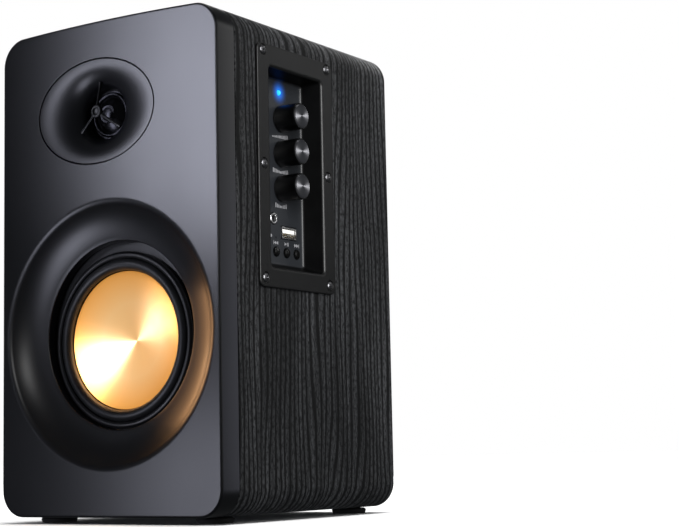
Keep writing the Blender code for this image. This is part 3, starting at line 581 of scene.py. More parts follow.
def worked(target, operation, operands):
    """Add or cut each (mesh, matrix) operand, and keep the result in the target's mesh."""
    tools = [stand("operand", mesh, matrix) for mesh, matrix in operands]
    for tool in tools:
        modifier = target.modifiers.new("work", "BOOLEAN")
        modifier.operation = operation
        modifier.solver = "EXACT"
        modifier.object = tool
    bpy.context.view_layer.update()
    depsgraph = bpy.context.evaluated_depsgraph_get()
    mesh = bpy.data.meshes.new_from_object(target.evaluated_get(depsgraph))
    target.modifiers.clear()
    target.data = mesh
    for tool in tools:
        bpy.data.objects.remove(tool)


def keep(made, body, paint, nodes=(), weighted=False):
    """Give a finished piece its material, smoothing, body and the CAD nodes it replaces."""
    mesh = made.data
    if not mesh.materials:
        mesh.materials.append(paint)
    mesh.shade_smooth()
    mesh.set_sharp_from_angle(angle=SHARP)
    if weighted:
        normals = made.modifiers.new("flat_faces_first", "WEIGHTED_NORMAL")
        normals.keep_sharp = True
        normals.weight = 100
    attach(made, body)
    if nodes:
        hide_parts(*nodes)
    return made


def piece(name, mesh, at, turn, body, paint, nodes=()):
    """A piece made of one mesh."""
    return keep(stand(name, mesh, seat(at, turn)), body, paint, nodes)


# ----------------------------------------------------------------------------- cabinet


def rectangle(low, high, radius, steps=8):
    """A rounded rectangle's points, counter-clockwise from the lower right corner."""
    corners = (
        ((high[0] - radius, low[1] + radius), -90),
        ((high[0] - radius, high[1] - radius), 0),
        ((low[0] + radius, high[1] - radius), 90),
        ((low[0] + radius, low[1] + radius), 180),
    )
    points = []
    for centre, start in corners:
        points += arc(centre, radius, start, start + 90, steps)
    return points


def grown(limits, amount):
    """Both corners of a rectangle moved out by an amount."""
    (a, b), (c, d) = limits
    return (a - amount, b - amount), (c + amount, d + amount)


def outline(inset):
    """The cabinet's outline moved in by an inset: round corners, straight runs cut up, crowned top."""
    steps, runs = 12, 24
    half = SIDE - inset
    radius = max(CORNER_RADIUS - inset, 3 * MM)
    corners = rectangle((-half, inset), (half, HEIGHT - inset), radius, steps)
    points = []
    for i, point in enumerate(corners):
        points.append(point)
        if i % (steps + 1) == steps:
            after = corners[(i + 1) % len(corners)]
            for k in range(1, runs):
                t = k / runs
                points.append(tuple(a + (b - a) * t for a, b in zip(point, after)))
    crowned = []
    for x, z in points:
        crown = TOP_CROWN * (1 - (x / half) ** 2) if z > HEIGHT / 2 else 0
        crowned.append((x, z + crown))
    return crowned


def at_depth(points, depth):
    return [(x, depth, z) for x, z in points]


def lay_foil(mesh):
    """Write the wrap attribute: distance round the cabinet from its seam under the middle, and depth."""
    wrap = mesh.attributes.new("wrap", "FLOAT_VECTOR", "POINT")
    for vertex, spot in zip(mesh.vertices, wrap.data):
        x, y, z = vertex.co
        run = z + (2 * SIDE - abs(x) if z > HEIGHT / 2 else abs(x))
        if x < 0:
            run = 2 * (2 * SIDE + HEIGHT) - run
        spot.vector = (run, y, 0)


def make_shell():
    """Foil-wrapped box with rounded front and rear edges and the window for the control panel."""
    wall = [(0, SHELL_FRONT, 0.4 * MM), (0, DEPTH, 0.7 * MM), (WALL, DEPTH), (WALL, SHELL_FRONT)]
    rows = [at_depth(outline(inset), depth) for inset, depth in softened(wall, 4, True)]
    made = stand("cabinet_wrap", lofted_mesh("cabinet_wrap", rows, ring=True), seat())
    near, far = WINDOW
    window = box_mesh("window", (SIDE - 15 * MM, *near), (SIDE + 5 * MM, *far))
    worked(made, "DIFFERENCE", [(window, seat())])
    lay_foil(made.data)
    keep(made, "cabinet", FOIL, ["cabinet_shell"])


def flat_fill(shape, *loops):
    """Fill the plane between closed loops of vertices."""
    edges = []
    for loop in loops:
        for i, vertex in enumerate(loop):
            edges.append(shape.edges.get((vertex, loop[(i + 1) % len(loop)])))
    bmesh.ops.triangle_fill(shape, use_beauty=True, use_dissolve=False, edges=edges)


def round_row(radius, depth):
    """A circle round the bowl's centre."""
    turns = round_turns(BOWL_SEGMENTS)
    return [(radius * math.cos(a), depth, BOWL_Z + radius * math.sin(a)) for a in turns]


def oval_row(across, tall, depth):
    """An oval of a half width and half height round the tweeter's centre."""
    turns = round_turns(OVAL_SEGMENTS)
    return [(TWEETER.x + across * math.cos(a), depth, TWEETER.z + tall * math.sin(a)) for a in turns]


def mouth_row(grow, depth):
    """The waveguide's outline, grown."""
    return oval_row(WAVEGUIDE[0] + grow, WAVEGUIDE[1] + grow, depth)


def bowl_section():
    """Radius and depth of the woofer's bowl, from the front face to the board's back."""
    lip = 5 * MM
    points = [(BOWL_RADIUS + 0.4 * MM, 0)]
    points += [(r, -h) for r, h in arc((BOWL_RADIUS, -lip), lip, 90, 136, 14)]
    points += curve(points[-1], (58.6 * MM, 7.7 * MM), (THROAT + 0.5 * MM, 9.5 * MM), 14)
    points += curve(points[-1], (THROAT, 9.6 * MM), (THROAT, 10.1 * MM), 3)
    return points + [(THROAT, BAFFLE)]


def make_baffle():
    """Front board: softened outer edge, the woofer's bowl and the tweeter's oval opening."""
    shape = bmesh.new()
    edge = [(inset, depth) for inset, depth in arc((EDGE, EDGE), EDGE, 270, 180, 8)]
    rows = [(EDGE + 0.4 * MM, 0)] + edge + [(0, BAFFLE - 0.3 * MM), (0.3 * MM, BAFFLE)]
    outer = strip(shape, [at_depth(outline(inset), depth) for inset, depth in rows])
    bowl = strip(shape, [round_row(radius, depth) for radius, depth in bowl_section()])
    lip = metres([(0.7, 0), (0.45, 0), (0.34, 0.06), (0.3, 0.2)]) + [(0.3 * MM, BAFFLE)]
    oval = strip(shape, [mouth_row(grow, depth) for grow, depth in lip])
    flat_fill(shape, outer[0], bowl[0], oval[0])
    flat_fill(shape, outer[-1], bowl[-1], oval[-1])
    mesh = to_mesh("front_board", shape)
    piece("front_board", mesh, (0, 0, 0), UP, "cabinet", PAINT, ["front_baffle"])


def make_feet():
    """Four rubber feet with a moulded rim and a dished sole."""
    radius, height = size_of("foot_front_left").x / 2 / MM, ORIGIN.z / MM
    section = [
        (0, -GAP / MM), (radius - 0.9, -GAP / MM, 0.3), (radius, -1.1, 0.5),
        (radius - 0.6, -height, 0.7), (radius - 2.2, -height, 0.3),
        (radius - 2.6, -height + 0.5, 0.3), (0, -height + 0.6),
    ]
    mesh = turned_mesh("foot", softened(metres(section)), 48)
    for end in ("front", "rear"):
        for side in ("left", "right"):
            node = f"foot_{end}_{side}"
            spot = middle(node)
            piece(f"rubber_{node}", mesh, (spot.x, spot.y, 0), UP, "cabinet", FOOT_RUBBER, [node])


def make_rear_board():
    """Rear board in the same foil, let into the shell, with its port and amplifier openings."""
    inset = WALL + GAP
    front, back = (corner.y for corner in ends("rear_panel"))
    edge = [(inset + 0.6 * MM, front), (inset, front), (inset, back - 0.5 * MM), (inset + 0.5 * MM, back)]
    rows = [at_depth(outline(inset), depth) for inset, depth in edge]
    made = stand("rear_board", lofted_mesh("rear_board", rows), seat())
    plate = middle("amp_plate")
    plate.y = back
    low, high = plate - Vector((50, 20, 50)) * MM, plate + Vector((50, 5, 50)) * MM
    window = box_mesh("window", low, high)
    port = turned_mesh("hole", [(0, -20 * MM), (20 * MM, -20 * MM), (20 * MM, 5 * MM), (0, 5 * MM)], 96)
    spot = middle("port_tube")
    worked(made, "DIFFERENCE", [(window, seat()), (port, seat((spot.x, back, spot.z), REAR))])
    wrap = made.data.attributes.new("wrap", "FLOAT_VECTOR", "POINT")
    for vertex, spot in zip(made.data.vertices, wrap.data):
        spot.vector = (vertex.co.z + REAR_FOIL[0], vertex.co.x + REAR_FOIL[1], 0)
    keep(made, "cabinet", FOIL, ["rear_panel"])


# ------------------------------------------------------------------------------ woofer


def make_woofer():
    """Trim ring, half-roll surround and spun cone of the bass driver."""

    trim = [
        (41.6, -12.9), (41.6, -11.5, 0.5), (42.6, -10.8, 1.0), (43.8, -11.0, 1.0),
        (44.6, -12.0, 0.4), (45.0, -12.2, 0.2), (45.0, -12.9),
    ]
    mesh = turned_mesh("trim_ring", softened(metres(trim), 6, True), BOWL_SEGMENTS, loop=True)
    piece("trim_ring", mesh, WOOFER, FRONT, "cabinet", BLACK, ["woofer_trim_ring"])

    roll = (38.4 * MM, -13.2 * MM)
    outside = arc(roll, 3.0 * MM, 186, -6, 28)
    inside = arc(roll, 2.3 * MM, 0, 180, 20)
    rim = metres([(42.2, -13.4), (45.2, -13.4), (45.2, -14.1), (40.7, -14.1)])
    mesh = turned_mesh("surround", outside + rim + inside, BOWL_SEGMENTS, loop=True)
    piece("surround", mesh, WOOFER, FRONT, "cabinet", RUBBER, ["woofer_surround"])

    cone_front, cone_back = (corner.y for corner in ends("woofer_cone"))
    apex = WOOFER.y - cone_back + 1.0 * MM
    rim_radius = size_of("woofer_cone").x / 2
    rim_height = WOOFER.y - cone_front
    front = []
    steps = 40
    for i in range(steps + 1):
        outward = i / steps
        front.append((rim_radius * outward, apex + (rim_height - apex) * outward**1.25))
    rolled = [(rim_radius + 0.15 * MM, rim_height - 0.15 * MM), (rim_radius, rim_height - 0.5 * MM)]
    back = [(radius, height - 0.9 * MM) for radius, height in front[-2::-4]]
    profile = front + rolled + back + [(0, apex - 0.9 * MM)]
    mesh = turned_mesh("spun_cone", profile, 192)
    piece("spun_cone", mesh, WOOFER, FRONT, "woofer_moving", GOLD, ["woofer_cone"])


# ----------------------------------------------------------------------------- tweeter


def make_waveguide():
    """Oval flared insert whose mouth starts flush with the front face and ends round the dome."""
    throat = 13.5 * MM
    horn = 10 * MM
    rim, sunk = 0.5 * MM, 0.2 * MM
    mouth = (WAVEGUIDE[0] - rim, WAVEGUIDE[1] - rim)
    lip = [(0, BAFFLE - GAP), (0, 0.6 * MM), (-0.1 * MM, 0.32 * MM), (-0.3 * MM, sunk), (-rim, sunk)]
    rows = [mouth_row(grow, depth) for grow, depth in lip]
    steps = 30
    for i in range(1, steps + 1):
        turn = math.pi / 2 * i / steps
        across, tall = (half - (half - throat) * math.sin(turn) for half in mouth)
        rows.append(oval_row(across, tall, sunk + (horn - sunk) * (1 - math.cos(turn))))
    rows += [oval_row(across, tall, depth) for depth in (horn + 0.4 * MM, BAFFLE - GAP)]
    mesh = lofted_mesh("waveguide", rows, ring=True)
    piece("waveguide", mesh, (0, 0, 0), UP, "cabinet", PAINT, ["tweeter_waveguide"])


def leg_mesh(name):
    """One leg along +Z: an oval bar that thins towards its middle and spreads at its root."""
    stations = 14
    turns = round_turns(16)
    rows = []
    for i in range(stations + 1):
        t = i / stations
        swell = 1 + 0.55 * max(0, t - 0.8) / 0.2 + 0.35 * max(0, 0.2 - t) / 0.2
        half_x, half_y = 0.58 * MM * swell, 0.75 * MM * swell
        rows.append([(half_x * math.cos(a), half_y * math.sin(a), t) for a in turns])
    return lofted_mesh(name, rows)


def make_phase_plug():
    """Dished bullet at the baffle's plane, held by three thin legs."""
    bullet = [
        (0, -1.5), (1.5, -1.2, 0.4), (2.2, -0.3, 0.5), (3.2, -0.5, 0.5), (3.3, -1.6, 0.5),
        (2.6, -3.0, 1.2), (1.0, -4.9, 0.8), (0, -5.2),
    ]
    mesh = turned_mesh("phase_plug", softened(metres(bullet), 5), 64)
    made = stand("phase_plug", mesh, seat(TWEETER, FRONT))
    # Each leg's inner and outer end: its radius from the axis, and its depth
    near, far = Vector((2.4 * MM, 1.6 * MM)), Vector((15.6 * MM, 4.6 * MM))
    legs = []
    for turn in (0, math.radians(125), -math.radians(125)):
        inner = Vector((near.x * math.sin(turn), near.y, near.x * math.cos(turn)))
        outer = Vector((far.x * math.sin(turn), far.y, far.x * math.cos(turn)))
        along = outer - inner
        aim = along.to_track_quat("Z", "Y").to_matrix().to_4x4()
        stretch = Matrix.Diagonal((1, 1, along.length, 1))
        legs.append((leg_mesh("leg"), Matrix.Translation(ORIGIN + TWEETER + inner) @ aim @ stretch))
    worked(made, "UNION", legs)
    keep(made, "cabinet", BLACK, ["tweeter_phase_plug"])


def make_dome():
    """Dome with a pressed inner ring, and its half-roll edge."""
    # The glued edge lies half a millimetre in front of the part's back
    base = 0.5 * MM - ends("tweeter_dome")[1].y
    radius, height = 9.5, 3.4
    sphere = (radius**2 + height**2) / (2 * height)
    edge = math.asin(radius / sphere)
    front = []
    steps = 40
    for i in range(steps + 1):
        turn = edge * i / steps
        r = sphere * math.sin(turn)
        ridge = 0.35 * math.exp(-(((r - 4.5) / 0.45) ** 2))
        front.append((r * MM, base + (height - sphere * (1 - math.cos(turn)) + ridge) * MM))
    roll = arc((10.7 * MM, base - 0.1 * MM), 1.15 * MM, 170, 0, 14)
    rim = [(12.4 * MM, base - 0.1 * MM), (12.4 * MM, base - 0.5 * MM), (9.3 * MM, base - 0.5 * MM)]
    under = [(6.0 * MM, base + 1.3 * MM), (0, base + 2.6 * MM)]
    mesh = turned_mesh("dome", front + roll + rim + under, 96)
    piece("dome", mesh, TWEETER, FRONT, "tweeter_moving", DOME, ["tweeter_dome"])


# ----------------------------------------------------------------------- control panel


def panel_row(limits, radius, x):
    """A rounded rectangle of depth and height on a plane that faces +X."""
    return [(x, y, z) for y, z in rectangle(*limits, radius)]


def hole_mesh(radius, proud, deep):
    """A round cutter that starts proud of a face and ends deep under it."""
    return turned_mesh("hole", [(0, proud), (radius, proud), (radius, -deep), (0, -deep)], 48)


def panel_hole(radius, spot, deep=4 * MM):
    """A round cutter in the panel's floor, and its place."""
    return hole_mesh(radius, 2 * MM, deep), seat((FLOOR, spot.y, spot.z), RIGHT)


def make_panel():
    """Moulded tub: rounded mouth and floor edges, screw dimples and the openings in its floor."""
    edge, rim, corner = 1.4 * MM, 0.45 * MM, 3.6 * MM
    quarter = [math.pi / 2 * i / 7 for i in range(8)]
    rows = [panel_row(grown(WALL_FOOT, -edge - 0.3 * MM), 1.0 * MM, FLOOR)]
    for a in quarter:
        grow, rise = edge * (math.sin(a) - 1), edge * (1 - math.cos(a))
        rows.append(panel_row(grown(WALL_FOOT, grow), 1.2 * MM + 0.4 * MM * math.sin(a), FLOOR + rise))
    for a in quarter:
        grow, rise = -edge * math.cos(a), edge * (math.sin(a) - 1)
        rows.append(panel_row(grown(OPENING, grow), 2 * MM + math.sin(a) * MM, FLANGE_FACE + rise))
    rows.append(panel_row(grown(OPENING, 0.3 * MM), 3.3 * MM, FLANGE_FACE))
    rows.append(panel_row(grown(FLANGE, -0.8 * MM), 2.9 * MM, FLANGE_FACE))
    for a in (math.pi / 2 * i / 4 for i in range(5)):
        grow, drop = rim * (math.sin(a) - 1), rim * (1 - math.cos(a))
        rows.append(panel_row(grown(FLANGE, grow), corner + grow, FLANGE_FACE - drop))
    rows.append(panel_row(FLANGE, corner, SIDE + GAP))
    rows.append(panel_row(grown(OPENING, -0.5 * MM), 2.6 * MM, SIDE + GAP))
    rows.append(panel_row(grown(WALL_FOOT, 1.2 * MM), 2.6 * MM, PANEL_BACK))
    made = stand("panel_tub", lofted_mesh("panel_tub", rows), seat())

    dimple = [
        (0, 1), (3.3, 1), (3.02, -0.02, 0.3), (2.72, -0.75, 0.25), (1.3, -0.75), (1.3, -4),
        (0, -4),
    ]
    mesh = turned_mesh("dimple", softened(metres(dimple), 3), 32)
    cutters = []
    for name in PANEL_SCREWS:
        spot = middle(name)
        cutters.append((mesh, seat((FLANGE_FACE, spot.y, spot.z), RIGHT)))
    cutters += [panel_hole(4.6 * MM, middle(f"{name}_knob")) for name in KNOBS]
    cutters += [panel_hole(2.8 * MM, middle(f"{name}_button")) for name in BUTTONS]
    cutters.append(panel_hole(1.8 * MM, middle("status_led")))
    cutters.append(panel_hole(3.3 * MM, middle("aux_jack")))
    microphone = middle("previous_button") + Vector((0, -0.1 * MM, 7.2 * MM))
    cutters.append(panel_hole(0.65 * MM, microphone, 1.5 * MM))
    low, high = ends("usb_port")
    clear = 0.5 * MM
    near = (FLOOR - 4 * MM, low.y - clear, low.z - clear)
    usb = box_mesh("hole", near, (FLOOR + 2 * MM, high.y + clear, high.z + clear))
    cutters.append((usb, seat()))
    worked(made, "DIFFERENCE", cutters)
    keep(made, "cabinet", PANEL, ["control_panel"], weighted=True)


def screw_mesh():
    """Pan head with a cross recess whose walls taper, on a plain shank."""
    head = [(0, SCREW_HEAD), (1.15, 0.98, 1.0), (2.0, 0.62, 0.6), (2.3, 0.05, 0.15), (2.25, 0)]
    shank = [(0.95, 0), (0.95, -6), (0, -7)]
    mesh = turned_mesh("screw", softened(metres(head + shank), 5), 40)
    made = stand("screw", mesh, Matrix.Identity(4))
    arms = []
    for turn in (0, math.pi / 2):
        top = [(x * 1.35 * MM, y * 0.3 * MM, 1.3 * MM) for x, y in ((-1, -1), (1, -1), (1, 1), (-1, 1))]
        bottom = [(x * 0.45, y * 0.6, 0.1 * MM) for x, y, _ in top]
        arms.append((lofted_mesh("arm", [top, bottom]), Matrix.Rotation(turn, 4, "Z")))
    worked(made, "DIFFERENCE", arms)
    mesh = made.data
    bpy.data.objects.remove(made)
    return mesh


def make_screws():
    """The panel's and the amplifier plate's screws, each left at its own turn."""
    mesh = screw_mesh()
    for i, node in enumerate(PANEL_SCREWS + PLATE_SCREWS):
        at, far = middle(node), ends(node)[1]
        if node in PLATE_SCREWS:
            at.y, facing, steel = far.y - SCREW_HEAD * MM, REAR, STEEL
        else:
            at.x, facing, steel = far.x - SCREW_HEAD * MM, RIGHT, DARK_STEEL
        turn = Matrix.Rotation(math.radians(37 * i), 4, "Z")
        keep(stand(f"cross_{node}", mesh, seat(at, facing) @ turn), "cabinet", steel, [node])


def make_knobs():
    """Rotary controls: black body with a turned grip line, and a spun metal cap."""
    radius = size_of("volume_knob").y / 2 / MM
    length = (KNOB_END - FLOOR) / MM - 0.45
    body = [
        (0, length - 3.2), (3.3, length - 3.2), (3.3, length - 1.3), (radius - 0.55, length - 1.3),
        (radius - 0.5, length - 0.25, 0.1), (radius - 0.28, length - 0.2, 0.1),
        (radius, length - 0.75, 0.35), (radius, 1.0, 0.5), (radius - 0.6, 0.4, 0.3), (3.0, 0.4),
        (3.0, -8.6), (0, -8.6),
    ]
    cap = [
        (0, length + 0.40), (0.35, length + 0.40, 0.1), (radius - 1.15, length + 0.45, 0.2),
        (radius - 0.62, length - 0.1, 0.15), (radius - 0.62, length - 1.1), (3.0, length - 1.1),
        (3.0, length - 2.9), (0, length - 2.9),
    ]
    body_mesh = turned_mesh("knob_body", softened(metres(body), 5), 72)
    cap_mesh = turned_mesh("knob_face", softened(metres(cap), 5), 96)
    for name in KNOBS:
        spot = middle(f"{name}_knob")
        at = (FLOOR, spot.y, spot.z)
        knob, body = f"{name}_knob", f"{name}_control"
        piece(f"{knob}_body", body_mesh, at, RIGHT, body, KNOB_BLACK, [knob])
        piece(f"{knob}_face", cap_mesh, at, RIGHT, body, CAP_METAL, [f"{knob}_cap"])


def make_buttons():
    """Push buttons with a crowned top, and their collar behind the panel."""
    section = [
        (0, 1.35), (1.2, 1.2, 2.0), (2.25, 0.85, 0.6), (2.5, 0.2, 0.3), (2.5, -2.9), (3.4, -2.9),
        (3.4, -3.7), (1.4, -3.7), (1.4, -7.9), (0, -7.9),
    ]
    mesh = turned_mesh("key", softened(metres(section), 5), 48)
    for name in BUTTONS:
        node = f"{name}_button"
        spot = middle(node)
        at = (FLOOR, spot.y, spot.z)
        piece(f"{name}_key_cap", mesh, at, RIGHT, f"{name}_key", KEY_BLACK, [node])


def make_led():
    """Domed lens of the status light. Its panel's material glows, so the lens itself lights nothing."""
    lens = [(0, 0.75), (0.9, 0.55, 0.5), (1.45, -0.2, 0.4), (1.45, -8.6)]
    foot = [(1.9, -8.6), (1.9, -11.8), (0, -11.8)]
    spot = middle("status_led")
    at = (FLOOR, spot.y, spot.z)
    mesh = turned_mesh("led", softened(metres(lens + foot), 5), 40)
    made = piece("led_lens", mesh, at, RIGHT, "cabinet", LENS, ["status_led"])
    made.visible_diffuse = False
    made.visible_glossy = False


def make_aux_jack():
    """3.5 mm socket: plated nose ring, black barrel with its bore, and the moulded body."""
    spot = middle("aux_jack")
    at = (FLOOR, spot.y, spot.z)
    low, high = ends("aux_jack")
    body = box_mesh("aux_body", low, (FLOOR - 2.4 * MM, high.y, high.z), 0.4 * MM)
    made = stand("aux_body", body, seat())
    bore = turned_mesh("bore", metres([(0, 3), (1.75, 3), (1.75, -11), (0, -11)]), 40)
    worked(made, "DIFFERENCE", [(bore, seat(at, RIGHT))])
    keep(made, "cabinet", BLACK, ["aux_jack"])
    nose = [(1.85, 0), (2.1, 0.6, 0.15), (2.75, 0.6, 0.25), (3.0, 0.2, 0.1), (3.0, -3.9), (1.85, -3.9)]
    mesh = turned_mesh("aux_nose", softened(metres(nose), 4, True), 64, loop=True)
    piece("aux_nose", mesh, at, RIGHT, "cabinet", NICKEL)
    sleeve = [(1.3, -0.5), (1.8, -0.3), (1.8, -9.5), (1.3, -9.5)]
    mesh = turned_mesh("aux_sleeve", metres(sleeve), 40, loop=True)
    piece("aux_sleeve", mesh, at, RIGHT, "cabinet", KNOB_BLACK)


def make_usb():
    """USB socket: folded metal shell, white tongue and four contacts."""
    low, high = ends("usb_port")
    wall = 0.55 * MM
    limits = ((low.y, low.z), (high.y, high.z))
    rows = [panel_row(limits, 0.7 * MM, x) for x in (low.x, high.x - 0.1 * MM, high.x)]
    made = stand("usb_shell", lofted_mesh("usb_shell", rows), seat())
    inside = grown(limits, -wall)
    rows = [panel_row(inside, 0.4 * MM, x) for x in (low.x + 1.5 * MM, FLOOR + 3 * MM)]
    worked(made, "DIFFERENCE", [(lofted_mesh("cavity", rows), seat())])
    keep(made, "cabinet", NICKEL, ["usb_port"])
    z = (low.z + high.z) / 2
    near = (low.x + 1 * MM, low.y + 1.3 * MM, z - 0.1 * MM)
    far = (FLOOR - 0.5 * MM, high.y - 1.3 * MM, z + 1.9 * MM)
    tongue = box_mesh("usb_tongue", near, far, 0.18 * MM)
    piece("usb_tongue", tongue, (0, 0, 0), UP, "cabinet", WHITE)
    for i in range(4):
        y = low.y + 3.1 * MM + i * (high.y - low.y - 6.2 * MM) / 3
        near = (low.x + 2 * MM, y - 0.45 * MM, z - 0.25 * MM)
        contact = box_mesh("contact", near, (FLOOR - 1.2 * MM, y + 0.45 * MM, z), 0.08 * MM)
        piece(f"usb_contact_{i + 1}", contact, (0, 0, 0), UP, "cabinet", GOLD_PLATE)


def printed(name, shapes, facing_x=True):
    """Ink marks: each outline of (across, up) points made a thin closed prism on its surface."""
    shape = bmesh.new()
    for points in shapes:
        if facing_x:
            capped(shape, [[(FLOOR + rise, y, z) for y, z in points] for rise in INK])
        else:
            capped(shape, [[(x, REAR_FACE + rise, z) for x, z in points] for rise in INK])
    return piece(name, to_mesh(name, shape), (0, 0, 0), UP, "cabinet", PRINT)


def bar(across, foot, width, height):
    """Corners of an upright bar that stands on a height."""
    near, far, top = across - width / 2, across + width / 2, foot + height
    return [(near, foot), (far, foot), (far, top), (near, top)]


def arrow(y, z, size, way):
    """A triangle that points along the depth, forwards or backwards."""
    tip, back, half = y + way * size / 2, y - way * size / 2, size / 2
    return [(back, z - half), (tip, z), (back, z + half)]


def make_panel_marks():
    """Generic scales under the knobs, transport arrows over the buttons and a dot at the top."""
    shapes = []
    size = 1.9 * MM
    labels = {"volume": (14 * MM, True), "treble": (13.4 * MM, False), "bass": (10 * MM, False)}
    for name, (width, ramp) in labels.items():
        spot = middle(f"{name}_knob")
        base = spot.z - 10.1 * MM
        count = round(width / (1.2 * MM))
        for i in range(count):
            t = i / (count - 1)
            share = 0.25 + 0.75 * t if ramp else 0.45 + 1.1 * abs(t - 0.5)
            y = spot.y + (t - 0.5) * (width - 0.8 * MM)
            shapes.append(bar(y, base, 0.75 * MM, 2.4 * MM * share))
    for name, way in zip(BUTTONS, (-1, 1, 1)):
        spot = middle(f"{name}_button")
        z = spot.z + 4.6 * MM
        if name == "play":
            shapes.append(arrow(spot.y - 0.8 * MM, z, size, way))
            shapes += [bar(spot.y + k * MM, z - size / 2, 0.5 * MM, size) for k in (0.7, 1.6)]
        else:
            shapes += [arrow(spot.y + k * MM, z, size, way) for k in (-1.0, 0.8)]
            shapes.append(bar(spot.y + way * 2.1 * MM, z - size / 2, 0.45 * MM, size))
    spot = middle("previous_button") + Vector((0, -4.4 * MM, 8 * MM))
    dot = [(0.9 * MM * math.cos(a), 0.75 * MM * math.sin(a)) for a in round_turns(16)]
    shapes.append([(spot.y + across, spot.z + up) for across, up in dot])
    printed("panel_marks", shapes)


# -------------------------------------------------------------------------------- rear


def make_port():
    """Reflex port: rounded flare, tube and the flange let into the rear board."""
    spot = middle("port_tube")
    radius = 17.5
    length = (DEPTH - ends("port_tube")[0].y) / MM
    section = [
        (radius + 9.5, 0.3), (radius + 9.5, 1.4, 0.6), (radius + 5.5, 1.3, 2.0),
        (radius + 2.0, -0.4, 3.0), (radius, -5.5, 5.0), (radius, -length), (radius + 2, -length),
        (radius + 2, -2.0), (radius + 2.2, 0.0),
    ]
    mesh = turned_mesh("port_flare", softened(metres(section), 8, True), 128, loop=True)
    at = (spot.x, DEPTH, spot.z)
    piece("port_flare", mesh, at, REAR, "cabinet", BLACK, ["port_tube"])


def rear_box(name, low, high, bevel):
    """A rounded box on the amplifier plate, as an object to be worked."""
    return stand(name, box_mesh(name, low, high, bevel), seat())


def rear_hole(radius, x, z):
    """A round cutter through the amplifier plate, and its place."""
    return hole_mesh(radius, 12 * MM, 5 * MM), seat((x, REAR_FACE, z), REAR)


def around(node, clear):
    """A box cutter through the plate, round a CAD node."""
    low, high = ends(node)
    near = (low.x - clear, REAR_FACE - 5 * MM, low.z - clear)
    far = (high.x + clear, REAR_FACE + 5 * MM, high.z + clear)
    return box_mesh("hole", near, far), seat()


def make_plate():
    """Painted steel plate with rounded corners, its openings and printed frames."""
    low, high = ends("amp_plate")
    limits = ((low.x, low.z), (high.x, high.z))
    edge = [(0, low.y), (0, high.y - 0.3 * MM), (-0.1 * MM, high.y - 0.08 * MM), (-0.3 * MM, high.y)]
    rows = [at_depth(rectangle(*grown(limits, grow), 4 * MM + grow), y) for grow, y in edge]
    made = stand("amp_face", lofted_mesh("amp_face", rows), seat())
    cutters = [around("terminal_block", 0.5 * MM), around("power_inlet", 0.4 * MM)]
    cutters.append(around("switch_housing", 0.4 * MM))
    for name in PLATE_SCREWS:
        spot = middle(name)
        cutters.append(rear_hole(1.4 * MM, spot.x, spot.z))
    for x, z in jack_places():
        cutters.append(rear_hole(4.6 * MM, x, z))
    worked(made, "DIFFERENCE", cutters)
    keep(made, "cabinet", PLATE, ["amp_plate"])

    shapes = []
    for node, room in (("line_in_jacks", 3.5 * MM), ("terminal_block", 4 * MM)):
        low, high = ends(node)
        line = 0.35 * MM
        left, right = low.x - room, high.x + room
        foot, top = low.z - room, high.z + room
        shapes += [bar((left + right) / 2, z, right - left, line) for z in (foot, top - line)]
        for x in (left + line / 2, right - line / 2):
            shapes.append(bar(x, foot + line, line, top - foot - 2 * line))
    z = ends("terminal_block")[1].z + 1.7 * MM
    minus, plus = middle("negative_lever").x, middle("positive_lever").x
    shapes += [bar(x, z - 0.2 * MM, 2.4 * MM, 0.4 * MM) for x in (minus, plus)]
    shapes += [bar(plus, foot, 0.4 * MM, 0.95 * MM) for foot in (z - 1.2 * MM, z + 0.25 * MM)]
    printed("plate_marks", shapes, facing_x=False)


def jack_places():
    """Across and height of the two line sockets."""
    spot = middle("line_in_jacks")
    return [(spot.x + side * 7 * MM, spot.z) for side in (-1, 1)]


def make_line_in():
    """Two line sockets: plated barrels with white and red collars on one moulded base."""
    low, high = ends("line_in_jacks")
    near, far = (low.x, REAR_FACE + GAP, low.z), (high.x, REAR_FACE + 2.2 * MM, high.z)
    base = rear_box("line_in_base", near, far, 0.6 * MM)
    worked(base, "DIFFERENCE", [rear_hole(3.2 * MM, x, z) for x, z in jack_places()])
    keep(base, "cabinet", BLACK, ["line_in_jacks"])
    end = (high.y - REAR_FACE) / MM
    sections = {
        "barrel": [
            (3.3, 1.5), (4.15, 1.5), (4.15, end, 0.25), (3.45, end, 0.2), (3.3, end - 0.6), (3.3, -6),
        ],
        "collar": [(1.7, 2.6), (1.7, end - 1.2, 0.3), (3.2, end - 1.2, 0.2), (3.2, 2.6)],
        "contact": [(1.2, -8), (1.6, -8), (1.6, end - 1.6, 0.15), (1.2, end - 1.6, 0.1)],
        "washer": [(4.3, 2.2), (5.6, 2.2), (5.6, 2.6, 0.15), (4.3, 2.6)],
    }
    for side, paint, (x, z) in zip(("left", "right"), (WHITE, RED), jack_places()):
        for part, section in sections.items():
            name = f"line_in_{side}_{part}"
            mesh = turned_mesh(name, softened(metres(section), 3, True), 48, loop=True)
            plated = part in ("barrel", "contact")
            slot, finish = ("steel", NICKEL) if plated else ("black_plastic", paint)
            piece(name, mesh, (x, REAR_FACE, z), REAR, "cabinet", finish)


def side_rows(points, half, edge, shrink, pivot=0.0):
    """Rows across x of a (y, z) outline, drawn in round a height at both ends."""
    ends_in = ((-half, shrink), (-half + edge, 1), (half - edge, 1), (half, shrink))
    return [[(x, y * k, pivot + (z - pivot) * k) for y, z in points] for x, k in ends_in]


